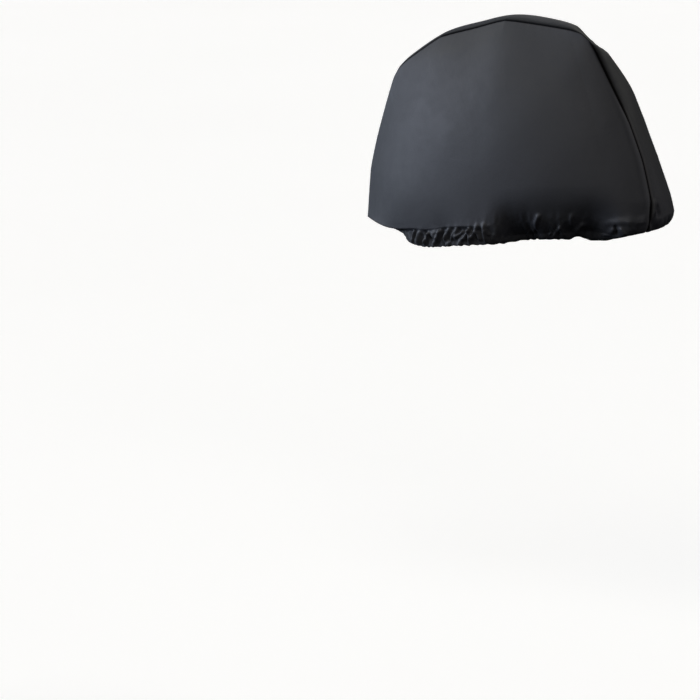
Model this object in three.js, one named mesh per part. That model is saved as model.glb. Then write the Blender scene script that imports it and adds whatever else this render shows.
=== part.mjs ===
import * as THREE from 'three';

// Fitted cover for the head of a small outboard motor. Two side panels are sewn to a centre strip that
// runs from the front hem over the top to the rear hem, and the hem is gathered all round.
// Millimetres. +X is aft, -Y is port (the near side), +Z is up. The origin is on the underside of the
// cloth in the middle of the top, where the cover rests on what it protects.

const CLOTH = 1.8;            // thickness of the coated cloth
const SEAM_GAP = 0.3;         // between the two cut edges that a seam joins
const SEAM_WALL = 2.2;        // cloth thickness along the mitre of a seam
const STRIP_HALF = 33;        // half the finished width of the centre strip
const BELLY = 88;             // how far a side panel stands out past the strip, at mid length of the brim
const BELLY_POWER = 2.3;      // plan shape of the brim: higher is boxier
const RISE_POWER = 2.3;       // side panel from brim to top seam: higher stays upright for longer
const CORNER_BLEND = 16;      // how far from a seam the hem turns to face the corner
const SEAM_FADE = 12;         // how far from a seam the gathers start

const PANEL_COLUMNS = 44;     // steps along a side panel
const STRIP_COLUMNS = 6;      // steps across the centre strip
const FINE = 4;               // hem steps for each step above it
const PANEL_ROWS = [0.035, 0.08, 0.15, 0.24, 0.34, 0.45, 0.56, 0.67, 0.77, 0.86, 0.94, 1];
const BAND_ROWS = [1, 0.72, 0.46, 0.22];

// The seam between the near panel and the strip, from the front brim over the top to the rear brim.
// x and z place the near seam, skewX and skewZ how far from it the far seam lies in side view, because
// the cover sits a little skewed, and crown how far the middle of the strip stands proud of both.
const ARCH = [
  { at: 'front brim', x: -239, z: -315, skewX: 0, skewZ: 0, crown: 4 },
  { at: 'front low', x: -233, z: -243, skewX: 0, skewZ: 0, crown: 5 },
  { at: 'front mid', x: -222, z: -195, skewX: 0, skewZ: 0, crown: 5 },
  { at: 'front high', x: -208, z: -147, skewX: 1, skewZ: 0, crown: 4 },
  { at: 'brow low', x: -193, z: -101, skewX: 1, skewZ: -1, crown: 4 },
  { at: 'brow', x: -182, z: -83, skewX: 2, skewZ: -2, crown: 6 },
  { at: 'brow top', x: -168, z: -72, skewX: 2, skewZ: -2, crown: 8 },
  { at: 'fore corner', x: -100, z: -29, skewX: 1, skewZ: -2, crown: 8 },
  { at: 'fore top', x: -50, z: -17, skewX: 0, skewZ: -2, crown: 10 },
  { at: 'peak', x: 0, z: -4, skewX: 0, skewZ: -1, crown: 6.3 },
  { at: 'aft top', x: 60, z: -8, skewX: -2, skewZ: -2, crown: 7 },
  { at: 'aft top end', x: 108, z: -13.5, skewX: -14, skewZ: -6, crown: 6 },
  { at: 'ear', x: 126, z: -18.5, skewX: -13, skewZ: -14, crown: 0 },
  { at: 'ear tip', x: 141, z: -30, skewX: -15, skewZ: -13, crown: -2 },
  { at: 'ear back', x: 152, z: -46, skewX: -10, skewZ: -8, crown: 0 },
  { at: 'rear high', x: 183, z: -99, skewX: -4, skewZ: 2, crown: 3 },
  { at: 'rear mid', x: 208, z: -145, skewX: -7, skewZ: -1, crown: 4 },
  { at: 'rear low', x: 230, z: -202, skewX: -5, skewZ: 0, crown: 4 },
  { at: 'rear foot', x: 245, z: -261, skewX: 3, skewZ: 2, crown: 4 },
  { at: 'rear brim', x: 253, z: -286, skewX: 3, skewZ: 8, crown: 5 },
];
const LAST = ARCH.length - 1;
const BROW = ARCH.findIndex((row) => row.at === 'brow');
const EAR = ARCH.findIndex((row) => row.at === 'ear tip');

// The brim and the gathered band below it, along a side from front to rear. z is the brim's height,
// inset how far the band is drawn in, drop how far its edge hangs below the brim, soft how rounded
// the turn is (0 is a crisp fold) and pucker how deep the gathers are.
const HEM = [
  { x: -239, z: -315, inset: 13, drop: 3, soft: 0, pucker: 1 },
  { x: -195, z: -324.5, inset: 14, drop: 4, soft: 0, pucker: 1.5 },
  { x: -155, z: -328.5, inset: 13, drop: 7, soft: 0, pucker: 2 },
  { x: -128, z: -326.5, inset: 11, drop: 21, soft: 0, pucker: 2.8 },
  { x: -60, z: -319, inset: 11, drop: 25, soft: 0, pucker: 2.8 },
  { x: 10, z: -311, inset: 12, drop: 25, soft: 0.15, pucker: 2.8 },
  { x: 60, z: -299, inset: 17, drop: 31, soft: 0.6, pucker: 3.4 },
  { x: 110, z: -289, inset: 22, drop: 33, soft: 1, pucker: 4 },
  { x: 180, z: -285, inset: 24, drop: 34, soft: 1, pucker: 4.5 },
  { x: 230, z: -284, inset: 19, drop: 29, soft: 1, pucker: 3.5 },
  { x: 253, z: -286, inset: 14, drop: 23, soft: 1, pucker: 1 },
];
const PUCKERS = 36;           // gathers along a side
const PUCKER_SPREAD = 1.4;    // above 1, the gathers are tighter at the front than at the rear
const STRIP_PUCKERS = 5;      // gathers across an end of the strip
const STRIP_PUCKER = 2.6;     // how deep they are
const STRIP_SEEDS = { front: 4, rear: 7 };
const PUFF_ABOVE = 1.6;       // how far a gather swells the cloth just above a soft brim
const BAND_START = 0.05;      // where the band's own facing is read, just below the brim

// Soft creases that the seam's corners pull into the panels: a ridge from one point to another, in
// side view, with its height and its half width. side is -1 for the near panel, 1 for the far one.
const CREASES = [
  { from: 'peak', side: -1, x0: 0, z0: -4, x1: 20, z1: -175, height: 4, width: 26 },
  { from: 'ear tip', side: -1, x0: 139, z0: -28, x1: 128, z1: -150, height: 6, width: 22 },
  { from: 'fore corner', side: -1, x0: -100, z0: -30, x1: -92, z1: -140, height: 2.5, width: 24 },
  { from: 'rear foot', side: -1, x0: 244, z0: -280, x1: 150, z1: -286, height: 7, width: 11 },
  { from: 'peak', side: 1, x0: 0, z0: -4, x1: -15, z1: -150, height: 4, width: 28 },
  { from: 'ear tip', side: 1, x0: 122, z0: -48, x1: 138, z1: -190, height: 5, width: 24 },
  { from: 'brow', side: 1, x0: -181, z0: -83, x1: -120, z1: -170, height: 3.5, width: 22 },
];

const CLOTH_COLOUR = 0x34363a;

const smooth = (a, b, value) => THREE.MathUtils.smoothstep(value, a, b);
const lerp = THREE.MathUtils.lerp;
const HEM_FRONT = HEM[0];
const HEM_REAR = HEM[HEM.length - 1];
const HEM_LENGTH = HEM_REAR.x - HEM_FRONT.x;

// Values of one column of a table, as a smooth curve through its rows. t counts rows.
function column(table, key, t) {
  const i = Math.min(Math.floor(t), table.length - 2);
  const w = t - i;
  const p1 = table[i][key];
  const p2 = table[i + 1][key];
  const p0 = i > 0 ? table[i - 1][key] : 2 * p1 - p2;
  const p3 = i < table.length - 2 ? table[i + 2][key] : 2 * p2 - p1;
  const m1 = (p2 - p0) / 2;
  const m2 = (p3 - p1) / 2;
  const cubed = w * w * w;
  const squared = w * w;
  return (2 * cubed - 3 * squared + 1) * p1 + (cubed - 2 * squared + w) * m1
    + (3 * squared - 2 * cubed) * p2 + (cubed - squared) * m2;
}

const nearSeam = new THREE.CatmullRomCurve3(ARCH.map((row) => new THREE.Vector3(row.x, 0, row.z)));

// Outward direction of the arch in the XZ plane, taken over a third of a row either side.
function archOutward(t) {
  const reach = 0.35;
  const before = nearSeam.getPoint(Math.max(t - reach, 0) / LAST);
  const after = nearSeam.getPoint(Math.min(t + reach, LAST) / LAST);
  const run = after.sub(before).normalize();
  return new THREE.Vector3(-run.z, 0, run.x);
}

// A point of the centre strip's outer face: t along the arch, across from -1 (near) to 1 (far).
function stripPoint(t, across) {
  const point = nearSeam.getPoint(t / LAST);
  const farShare = (across + 1) / 2;
  point.x += column(ARCH, 'skewX', t) * farShare;
  point.z += column(ARCH, 'skewZ', t) * farShare;
  point.addScaledVector(archOutward(t), column(ARCH, 'crown', t) * (1 - across * across));
  point.y = STRIP_HALF * across;
  return point;
}

function stripNormal(t, across) {
  const e = 0.02;
  const along = stripPoint(Math.min(t + e, LAST), across).sub(stripPoint(Math.max(t - e, 0), across));
  const over = stripPoint(t, Math.min(across + e, 1)).sub(stripPoint(t, Math.max(across - e, -1)));
  return along.cross(over).normalize();
}

// Row numbers that divide a stretch of one seam by length. fractions run from 0 to 1.
function seamRun(side, from, to, fractions) {
  const steps = 240;
  const lengths = [0];
  let last = stripPoint(from, side);
  for (let i = 1; i <= steps; i += 1) {
    const next = stripPoint(lerp(from, to, i / steps), side);
    lengths.push(lengths[i - 1] + next.distanceTo(last));
    last = next;
  }
  return fractions.map((fraction) => {
    const wanted = fraction * lengths[steps];
    let i = 1;
    while (i < steps && lengths[i] < wanted) i += 1;
    const part = (wanted - lengths[i - 1]) / (lengths[i] - lengths[i - 1]);
    return lerp(from, to, (i - 1 + part) / steps);
  });
}

// Seam row number for any fraction of a run, from a table made once.
function runLookup(side, from, to) {
  const steps = 160;
  const rows = seamRun(side, from, to, Array.from({ length: steps + 1 }, (_, i) => i / steps));
  return (fraction) => {
    const place = THREE.MathUtils.clamp(fraction, 0, 1) * steps;
    const i = Math.min(Math.floor(place), steps - 1);
    return lerp(rows[i], rows[i + 1], place - i);
  };
}

// How far the brim stands out past the strip at x, and its slope in plan.
function belly(x) {
  const half = HEM_LENGTH / 2;
  const place = THREE.MathUtils.clamp((x - HEM_FRONT.x) / half - 1, -1, 1);
  const out = BELLY * (1 - Math.abs(place) ** BELLY_POWER);
  const slope = -BELLY * BELLY_POWER * Math.abs(place) ** (BELLY_POWER - 1) * Math.sign(place) / half;
  return { out, slope };
}

// Row number in the hem's table for a place along the side, by x.
function hemRow(x) {
  let i = 0;
  while (i < HEM.length - 2 && HEM[i + 1].x < x) i += 1;
  return THREE.MathUtils.clamp(i + (x - HEM[i].x) / (HEM[i + 1].x - HEM[i].x), 0, HEM.length - 1);
}

// Uneven gathers: a wave of about -1 to 1 for a place counted in puckers.
function gather(count, seed) {
  const turn = 2 * Math.PI * count + 0.9 * Math.sin(2.3 * count + seed) + 0.5 * Math.sin(5.1 * count);
  const depth = 0.72 + 0.28 * Math.sin(1.7 * count + 2 * seed);
  return depth * Math.sin(turn);
}

// The hem's section from the brim (q = 0) to its gathered edge (q = 1): in and down, as fractions.
function hemSection(q, soft) {
  const crispIn = smooth(0, 0.34, q);
  const crispDown = q ** 1.5;
  const softIn = q ** 1.4;
  const softDown = Math.sin(q * Math.PI / 2);
  return { inward: lerp(crispIn, softIn, soft), down: lerp(crispDown, softDown, soft) };
}

// A point of the band and its facing. brim is where it hangs from, out the way it faces in plan, row the
// hem's values there, q how far down the section it is and puff the gather's wave.
function bandPoint(brim, out, row, q, puff) {
  const { inward, down } = hemSection(q, row.soft);
  const step = 0.04;
  const before = hemSection(Math.max(q - step, 0), row.soft);
  const after = hemSection(Math.min(q + step, 1), row.soft);
  const runIn = (after.inward - before.inward) * row.inset;
  const runDown = (after.down - before.down) * row.drop;
  const normal = out.clone().multiplyScalar(runDown);
  normal.z -= runIn;
  const loose = row.pucker * puff * smooth(0, 0.45, q);
  const point = brim.clone().addScaledVector(out, loose - inward * row.inset);
  point.z -= down * row.drop * (1 - 0.06 * puff * smooth(0.5, 1, q));
  return { point, normal: normal.normalize() };
}

// The hem's values at a row of its table.
function hemValues(t) {
  const value = (key) => column(HEM, key, t);
  return { inset: value('inset'), drop: value('drop'), soft: value('soft'), pucker: value('pucker') };
}

// Ridge height that the creases add to a panel at a place in side view.
function creaseLift(side, x, z) {
  let lift = 0;
  for (const fold of CREASES.filter((row) => row.side === side)) {
    const dx = fold.x1 - fold.x0;
    const dz = fold.z1 - fold.z0;
    const length = Math.hypot(dx, dz);
    const along = ((x - fold.x0) * dx + (z - fold.z0) * dz) / length;
    const away = ((x - fold.x0) * dz - (z - fold.z0) * dx) / length;
    const tent = Math.exp(-Math.sqrt((away / fold.width) ** 2 + 0.04));
    lift += fold.height * tent * smooth(-5, 25, along) * (1 - smooth(0.5, 1.15, along / length));
  }
  return lift;
}

// One side panel's smooth outer face. u runs from front to rear, v from the brim to the top seam.
function makeSide(side) {
  const front = runLookup(side, 0, BROW);
  const top = runLookup(side, BROW, EAR);
  const rear = runLookup(side, LAST, EAR);
  const corners = [0, LAST, BROW, EAR].map((t) => stripPoint(t, side));
  const [frontFoot, rearFoot, brow, ear] = corners;

  function foot(u) {
    const tableX = HEM_FRONT.x + u * HEM_LENGTH;
    const t = hemRow(tableX);
    const z = column(HEM, 'z', t) + (1 - u) * (frontFoot.z - HEM_FRONT.z) + u * (rearFoot.z - HEM_REAR.z);
    const { out, slope } = belly(tableX);
    return { x: lerp(frontFoot.x, rearFoot.x, u), z, out, slope, t };
  }

  function point(u, v) {
    const left = stripPoint(front(v), side);
    const right = stripPoint(rear(v), side);
    const up = stripPoint(top(u), side);
    const down = foot(u);
    const coons = (key) => (1 - v) * down[key] + v * up[key] + (1 - u) * left[key] + u * right[key]
      - (1 - u) * (1 - v) * frontFoot[key] - u * (1 - v) * rearFoot[key]
      - (1 - u) * v * brow[key] - u * v * ear[key];
    const x = coons('x');
    const z = coons('z');
    const fromSeam = smooth(0, 0.06, u) * smooth(0, 0.06, 1 - u) * smooth(0, 0.1, 1 - v);
    const out = down.out * (1 - v ** RISE_POWER) + fromSeam * creaseLift(side, x, z);
    return new THREE.Vector3(x, side * (STRIP_HALF + out), z);
  }

  function brim(u) {
    const { slope, t } = foot(u);
    return { point: point(u, 0), facing: new THREE.Vector3(-slope, side, 0).normalize(), t };
  }

  // Both directions are taken diagonally, and the inward one further at the brow and the ear, because
  // the seam runs straight on there and the patch's own directions are parallel.
  function normal(u, v) {
    const step = 0.025;
    const atCorner = smooth(0.8, 1, v) * smooth(0.8, 1, Math.max(u, 1 - u));
    const reach = lerp(step, 0.16, atCorner);
    const toward = (value, distance) => value + (value < 0.5 ? distance : -distance);
    const aside = point(toward(u, step), v).sub(point(u, toward(v, step)));
    const inside = point(toward(u, reach), toward(v, reach)).sub(point(u, v));
    const facing = aside.cross(inside).normalize();
    return facing.y * side < 0 ? facing.negate() : facing;
  }

  return { front, top, rear, brim, point, normal };
}

// Joins two neighbouring rows of points, where low may have FINE times the steps of high. add takes
// each triangle, wound with the rows' own direction.
function joinRows(low, lowSteps, high, highSteps, add) {
  const ratio = lowSteps / highSteps;
  const half = Math.floor(ratio / 2);
  for (let i = 0; i < highSteps; i += 1) {
    const foot = low + i * ratio;
    for (let k = 0; k < half; k += 1) add(foot + k, foot + k + 1, high + i);
    add(foot + half, high + i + 1, high + i);
    for (let k = half; k < ratio; k += 1) add(foot + k, foot + k + 1, high + i + 1);
  }
}

// A closed sheet from rows of outer and inner points. A row has as many steps as its neighbour, or
// FINE times as many, or a FINE part of them. turnedEnd takes the other diagonal across the cut edge at
// the rows' ends, so that two edges that face each other over a seam have the same facets.
function sheetSolid(rows, turnedEnd) {
  const positions = [];
  const starts = rows.map((row) => {
    const start = positions.length / 6;
    for (const { outer, inner } of row) positions.push(outer.x, outer.y, outer.z, inner.x, inner.y, inner.z);
    return start;
  });
  const faces = [];
  const both = (a, b, c) => faces.push([2 * a, 2 * b, 2 * c], [2 * a + 1, 2 * c + 1, 2 * b + 1]);
  for (let r = 0; r + 1 < rows.length; r += 1) {
    const steps = [rows[r].length - 1, rows[r + 1].length - 1];
    if (steps[0] >= steps[1]) joinRows(starts[r], steps[0], starts[r + 1], steps[1], both);
    else joinRows(starts[r + 1], steps[1], starts[r], steps[0], (a, b, c) => both(a, c, b));
  }
  const first = starts[0];
  const last = starts[rows.length - 1];
  const loop = rows[0].map((_, i) => first + i);
  for (let r = 1; r < rows.length; r += 1) loop.push(starts[r] + rows[r].length - 1);
  for (let i = rows[rows.length - 1].length - 2; i >= 0; i -= 1) loop.push(last + i);
  for (let r = rows.length - 2; r > 0; r -= 1) loop.push(starts[r]);
  loop.forEach((a, i) => {
    const b = loop[(i + 1) % loop.length];
    const atEnd = i >= rows[0].length - 1 && i < rows[0].length + rows.length - 2;
    if (turnedEnd && atEnd) faces.push([2 * a, 2 * a + 1, 2 * b], [2 * a + 1, 2 * b + 1, 2 * b]);
    else faces.push([2 * a, 2 * a + 1, 2 * b + 1], [2 * a, 2 * b + 1, 2 * b]);
  });
  const geometry = new THREE.BufferGeometry();
  geometry.setAttribute('position', new THREE.Float32BufferAttribute(positions, 3));
  geometry.setIndex(faces.flat());
  geometry.computeVertexNormals();
  return geometry;
}

// Turns a sheet inside out when its faces point in, by the sign of its volume.
function facingOut(geometry) {
  const index = geometry.getIndex();
  const at = (i) => new THREE.Vector3().fromBufferAttribute(geometry.getAttribute('position'), index.getX(i));
  let volume = 0;
  for (let i = 0; i < index.count; i += 3) volume += at(i).dot(at(i + 1).cross(at(i + 2)));
  if (volume < 0) {
    for (let i = 0; i < index.count; i += 3) {
      const swap = index.getX(i + 1);
      index.setX(i + 1, index.getX(i + 2));
      index.setX(i + 2, swap);
    }
    geometry.computeVertexNormals();
  }
  return geometry;
}

// Stations down one seam, shared by the panel and the strip: the band at the front, the front edge,
// the top, the rear edge and the band at the rear. Each has its point, its mitre and the way across.
function seamStations(side, panel, columns) {
  const stations = [];
  const bandEnd = (t, u) => {
    const brim = panel.brim(u);
    const out = new THREE.Vector3(t === 0 ? -1 : 1, 0, 0).add(brim.facing).normalize();
    return BAND_ROWS.map((q) => ({ ...bandPoint(stripPoint(t, side), out, hemValues(brim.t), q, 0), out }));
  };
  stations.push(...bandEnd(0, 0));
  const onArch = (t, u, v) => {
    const normal = stripNormal(t, side).add(panel.normal(u, v)).normalize();
    stations.push({ point: stripPoint(t, side), normal, t });
  };
  onArch(0, 0, 0);
  for (const v of PANEL_ROWS.slice(0, -1)) onArch(panel.front(v), 0, v);
  for (const u of columns) onArch(panel.top(u), u, 1);
  for (const v of PANEL_ROWS.slice(0, -1).reverse()) onArch(panel.rear(v), 1, v);
  onArch(LAST, 1, 0);
  stations.push(...bandEnd(LAST, 1).reverse());
  stations.forEach((station, i) => {
    const before = stations[Math.max(i - 1, 0)].point;
    const after = stations[Math.min(i + 1, stations.length - 1)].point;
    station.across = after.clone().sub(before).cross(station.normal).normalize();
    if (station.across.y * side < 0) station.across.negate();
  });
  const band = BAND_ROWS.length;
  for (const i of [band, stations.length - 1 - band]) {
    const beside = i === band ? stations[i - 1] : stations[i + 1];
    stations[i].normal.add(beside.normal).normalize();
  }
  return stations;
}

function seamPair(station, way) {
  const outer = station.point.clone().addScaledVector(station.across, way * SEAM_GAP / 2);
  return { outer, inner: outer.clone().addScaledVector(station.normal, -SEAM_WALL) };
}

function clothPair(point, normal) {
  return { outer: point, inner: point.clone().addScaledVector(normal, -CLOTH) };
}

// Where the fine and the coarse columns stand along a panel: close together where the gathers are.
function columnPlaces(count) {
  return Array.from({ length: count + 1 }, (_, i) => 1 - (1 - i / count) ** (1 / PUCKER_SPREAD));
}

function panelSolid(side, panel, stations) {
  const coarse = columnPlaces(PANEL_COLUMNS);
  const fine = columnPlaces(PANEL_COLUMNS * FINE);
  const band = BAND_ROWS.length;
  const rows = [];
  const count = stations.length;
  const edges = (row, index) => {
    row[0] = seamPair(stations[index], 1);
    row[row.length - 1] = seamPair(stations[count - 1 - index], 1);
    rows.push(row);
  };
  const fromSeam = (u) => Math.min(u, 1 - u) * HEM_LENGTH;
  const facing = (u) => {
    const brim = panel.brim(u);
    const turn = Math.exp(-((fromSeam(u) / CORNER_BLEND) ** 2));
    const end = new THREE.Vector3(u < 0.5 ? -1 : 1, 0, 0).add(panel.brim(Math.round(u)).facing).normalize();
    return brim.facing.clone().lerp(end, turn).normalize();
  };
  const gatherAt = (u) => gather(PUCKERS * (1 - (1 - u) ** PUCKER_SPREAD), side);
  const puff = (u) => smooth(0, SEAM_FADE, fromSeam(u)) * gatherAt(u);
  BAND_ROWS.forEach((q, index) => {
    edges(fine.map((u) => {
      const brim = panel.brim(u);
      const { point, normal } = bandPoint(brim.point, facing(u), hemValues(brim.t), q, puff(u));
      return clothPair(point, normal);
    }), index);
  });
  edges(fine.map((u) => {
    const brim = panel.brim(u);
    const soft = column(HEM, 'soft', brim.t);
    const below = bandPoint(brim.point, facing(u), hemValues(brim.t), BAND_START, 0).normal;
    const point = panel.point(u, 0).addScaledVector(facing(u), 0.5 * soft * puff(u));
    return clothPair(point, panel.normal(u, 0).add(below).normalize());
  }), band);
  PANEL_ROWS.slice(0, -1).forEach((v, index) => {
    const places = index === 0 ? fine : coarse;
    edges(places.map((u) => {
      const normal = panel.normal(u, v);
      const soft = column(HEM, 'soft', panel.brim(u).t);
      const reach = soft * puff(u) * (1 - smooth(0.02, 0.12, v));
      return clothPair(panel.point(u, v).addScaledVector(normal, PUFF_ABOVE * reach), normal);
    }), band + 1 + index);
  });
  const top = band + PANEL_ROWS.length;
  rows.push(coarse.map((_, i) => seamPair(stations[top + i], 1)));
  return facingOut(sheetSolid(rows, false));
}

function stripSolid(near, far) {
  const rows = [];
  const across = (count) => Array.from({ length: count + 1 }, (_, i) => 2 * i / count - 1);
  const band = BAND_ROWS.length;
  const last = near.length - 1;
  near.forEach((station, index) => {
    const atEnd = index <= band || index >= last - band;
    const places = across(atEnd ? STRIP_COLUMNS * FINE : STRIP_COLUMNS);
    const isFront = index <= band;
    const t = isFront ? 0 : LAST;
    const hem = { ...hemValues(isFront ? 0 : HEM.length - 1), pucker: STRIP_PUCKER };
    const q = BAND_ROWS[isFront ? index : last - index] ?? 0;
    const row = places.map((a) => {
      if (!atEnd) {
        const place = lerp(station.t, far[index].t, (a + 1) / 2);
        return clothPair(stripPoint(place, a), stripNormal(place, a));
      }
      const corner = Math.exp(-(((1 - Math.abs(a)) * STRIP_HALF / CORNER_BLEND) ** 2));
      const end = (a < 0 ? near : far)[isFront ? 0 : last].out;
      const out = new THREE.Vector3(isFront ? -1 : 1, 0, 0).lerp(end, corner).normalize();
      const fade = smooth(0, SEAM_FADE, (1 - Math.abs(a)) * STRIP_HALF);
      const puff = fade * gather(STRIP_PUCKERS * a / 2, isFront ? STRIP_SEEDS.front : STRIP_SEEDS.rear);
      const { point, normal } = bandPoint(stripPoint(t, a), out, hem, Math.max(q, BAND_START), puff);
      if (q > 0) return clothPair(point, normal);
      return clothPair(stripPoint(t, a), stripNormal(t, a).add(normal).normalize());
    });
    row[0] = seamPair(station, -1);
    row[row.length - 1] = seamPair(far[index], -1);
    rows.push(row);
  });
  return facingOut(sheetSolid(rows, true));
}

function clothMesh(name, geometry) {
  const cloth = new THREE.MeshStandardMaterial({ color: CLOTH_COLOUR, roughness: 0.62, metalness: 0 });
  const mesh = new THREE.Mesh(geometry, cloth);
  mesh.name = name;
  return mesh;
}

const cover = new THREE.Group();
const columns = columnPlaces(PANEL_COLUMNS);
const sides = [-1, 1].map((side) => {
  const panel = makeSide(side);
  return { side, panel, stations: seamStations(side, panel, columns) };
});
const names = { '-1': 'panel_near', 1: 'panel_far' };
for (const { side, panel, stations } of sides) {
  cover.add(clothMesh(names[side], panelSolid(side, panel, stations)));
}
cover.add(clothMesh('centre_strip', stripSolid(sides[0].stations, sides[1].stations)));

export default cover;
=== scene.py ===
"""Fitted cloth cover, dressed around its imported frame.

Two side panels are sewn to a centre strip that runs from the front hem over the top to the rear hem, and
the hem is gathered all round. Tables and surface functions are in millimetres, meshes in metres.
"""

import functools
import math

import bpy
import numpy as np
from bpy.props import FloatProperty, FloatVectorProperty, PointerProperty
from mathutils import Matrix, Vector


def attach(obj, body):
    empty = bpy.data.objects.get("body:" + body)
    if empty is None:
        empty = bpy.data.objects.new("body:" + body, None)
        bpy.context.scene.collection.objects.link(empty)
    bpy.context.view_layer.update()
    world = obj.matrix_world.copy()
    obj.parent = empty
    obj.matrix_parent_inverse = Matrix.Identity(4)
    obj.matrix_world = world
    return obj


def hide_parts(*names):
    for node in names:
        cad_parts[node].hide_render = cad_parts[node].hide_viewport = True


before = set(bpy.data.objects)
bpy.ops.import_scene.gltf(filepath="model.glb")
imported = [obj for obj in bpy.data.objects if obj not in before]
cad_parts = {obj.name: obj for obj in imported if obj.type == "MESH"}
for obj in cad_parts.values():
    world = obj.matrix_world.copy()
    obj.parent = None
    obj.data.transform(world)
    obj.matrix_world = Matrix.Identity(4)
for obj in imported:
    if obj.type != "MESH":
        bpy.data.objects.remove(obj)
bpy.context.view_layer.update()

bl_info = {
    "name": "Outboard motor cover",
    "version": (1, 0, 0),
    "blender": (4, 5, 0),
    "location": "3D View > Sidebar > Cover",
    "description": "Makes a fitted cloth cover with gathered hem around a packed frame",
    "category": "Add Mesh",
}

MM = 0.001


def table(columns, rows):
    """Named columns from rows of numbers."""
    return dict(zip(columns.split(), np.array(rows, float).T))


# The seam between the near panel and the strip in side view, from the front brim over the top to the
# rear brim. skew_x and skew_z say how far from it the far seam lies, and crown how far the middle of the
# strip stands proud of both.
ARCH = table("x z skew_x skew_z crown", [
    (-240, -321, 0, 0, 4),        # front brim
    (-234, -243, 0, 0, 5),
    (-223, -195, 0, 0, 5),
    (-209, -147, 1, 0, 4),
    (-194, -101, 1, -1, 4),
    (-183, -83, 2, -2, 6),        # brow
    (-168, -71, 2, -2, 9),
    (-109, -32.5, 1, -2, 7.5),    # fore corner
    (-50, -16.5, 0, -2, 8.5),
    (0, -3, 0, -1, 6.3),          # peak
    (60, -7.5, -2, -2, 7),
    (108, -13, -14, -6, 6),
    (126, -17.5, -14, -15, 0),
    (141, -29, -14, -14, -1),     # ear tip
    (152, -46, -11, -11, 8.5),
    (182.5, -99, -4, 1, 6.5),
    (208.5, -145, -6, -1, 5),
    (232, -202, -5, 0, 5),
    (247, -261, 3, 2, 5),
    (246, -289, 10, 8, 6),        # rear brim
])
BROW, EAR, LAST = 5, 13, 19

# The brim and the gathered band below it, from front to rear: the brim's height, how far the band is
# drawn in, how far its edge hangs below the brim, how rounded the turn is (0 is a crisp fold) and how
# deep the gathers are.
HEM = table("x z inset drop soft pucker", [
    (-239, -321, 13, 3, 0, 1),
    (-205, -326, 14, 4, 0, 1.5),
    (-178, -329, 14, 5, 0, 1.5),
    (-158, -328, 12, 10, 0, 2),
    (-142, -325.5, 9, 22, 0.05, 2.4),
    (-120, -322, 8.5, 28, 0.1, 2.4),
    (-90, -320, 8.5, 29, 0.1, 2.4),
    (-50, -312, 9, 31, 0.1, 2.4),
    (-10, -307, 9.5, 31, 0.2, 2.4),
    (12, -304, 13, 32, 0.5, 2.4),
    (35, -300, 19, 34, 1, 3.2),
    (60, -297, 20, 35, 1, 3.4),
    (110, -291, 22, 36, 1, 4),
    (145, -288.8, 23.4, 37, 1, 4.2),
    (162, -288, 24, 34.5, 1, 4.3),
    (178, -287.2, 24, 41, 1, 4.5),
    (199, -288.2, 23, 40, 1, 4.3),
    (213, -289.3, 22, 32.5, 1, 4.2),
    (232, -291, 19, 24, 1, 3.5),
    (253, -289, 14, 21, 1, 1),
])
HEM_LAST = len(HEM["x"]) - 1
HEM_LENGTH = HEM["x"][-1] - HEM["x"][0]

# Soft ridges that the seam's corners pull into the panels, in side view.
CREASE_COLUMNS = "x0 z0 x1 z1 height width"
CREASES = {
    -1: table(CREASE_COLUMNS, [
        (0, -4, 16, -165, 3.0, 36),
        (141, -28, 119, -92, 2.6, 19),
        (-109, -34, -98, -140, 2.0, 26),
        (244, -298, 196, -296, 8, 15),
    ]),
    1: table(CREASE_COLUMNS, [
        (0, -4, -15, -150, 4, 28),
        (122, -48, 138, -190, 5, 24),
        (-181, -83, -120, -170, 3.5, 22),
    ]),
}

# Folds along the hem: a ridge, or a trough where height is negative, from one place to another. x is
# measured along the cover and rise up from the brim.
FOLD_COLUMNS = "x0 rise0 x1 rise1 height width"
NEAR_HEM_FOLDS = table(FOLD_COLUMNS, [
    (-121, -3, -130, -22, 4.5, 2.6),
    (-107, -1, -118, -24, 6.5, 5.2),
    (-89, -4, -103, -24, 6, 3.2),
    (-73, 0, -82, -14, 7, 9.5),
    (-80, -19, -84, -29, 5, 4),
    (-64, -2, -77, -21, 6, 3.4),
    (-48, 0, -62, -21, 7, 4.4),
    (-53, -23, -58, -31, 4.5, 3.4),
    (-41, -7, -49, -22, 4.5, 2.2),
    (-34, 0, -41, -19, 7, 4),
    (-37, -17, -25, -9, 4.5, 2.4),
    (-27, -18, -34, -32, 5.5, 3.6),
    (-12, -4, -24, -21, 6, 2.8),
    (-12, -4, -14, -29, 6, 2.8),
    (2, 0, -10, -21, 7, 3.4),
    (0, -9, 4, -23, 5, 2.4),
    (13, 0, 14, -26, 7, 3.4),
    (16, -8, 20, -17, 3, 1.8),
    (27, -16, 24, -26, 2, 2.5),
    (37, -22, 36, -30, 2.5, 2),
    (43, -24, 40, -31, 2, 2),
    (67, -27, 81, -14, 2.5, 1.8),
    (88, -13, 81, -22, 2.2, 1.8),
    (98, 7, 89, -10, 4.6, 3.6),
    (89, -10, 91, -18, 2.5, 1.8),
    (107, -27, 112, -23, 3, 2),
    (127, -14, 116, -28, 4, 2.4),
    (127, -14, 131, -30, 4, 2.4),
    (145, 5, 144, -14, 3, 3),
    (163, -11, 149, -27, 6.5, 4.6),
    (197, -26, 186, -27, 3, 2),
    (202, -13, 196, -23, 4, 3),
    (205, -9, 205, -24, -5, 2.2),
    (210, -11, 214, -20, 4, 2.6),
    (190, -8, 205, -2, 1.6, 4.5),
    (206, -1, 223, 0, 2.0, 5),
    (222, 0, 240, 1, 2.4, 6),
])

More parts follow.
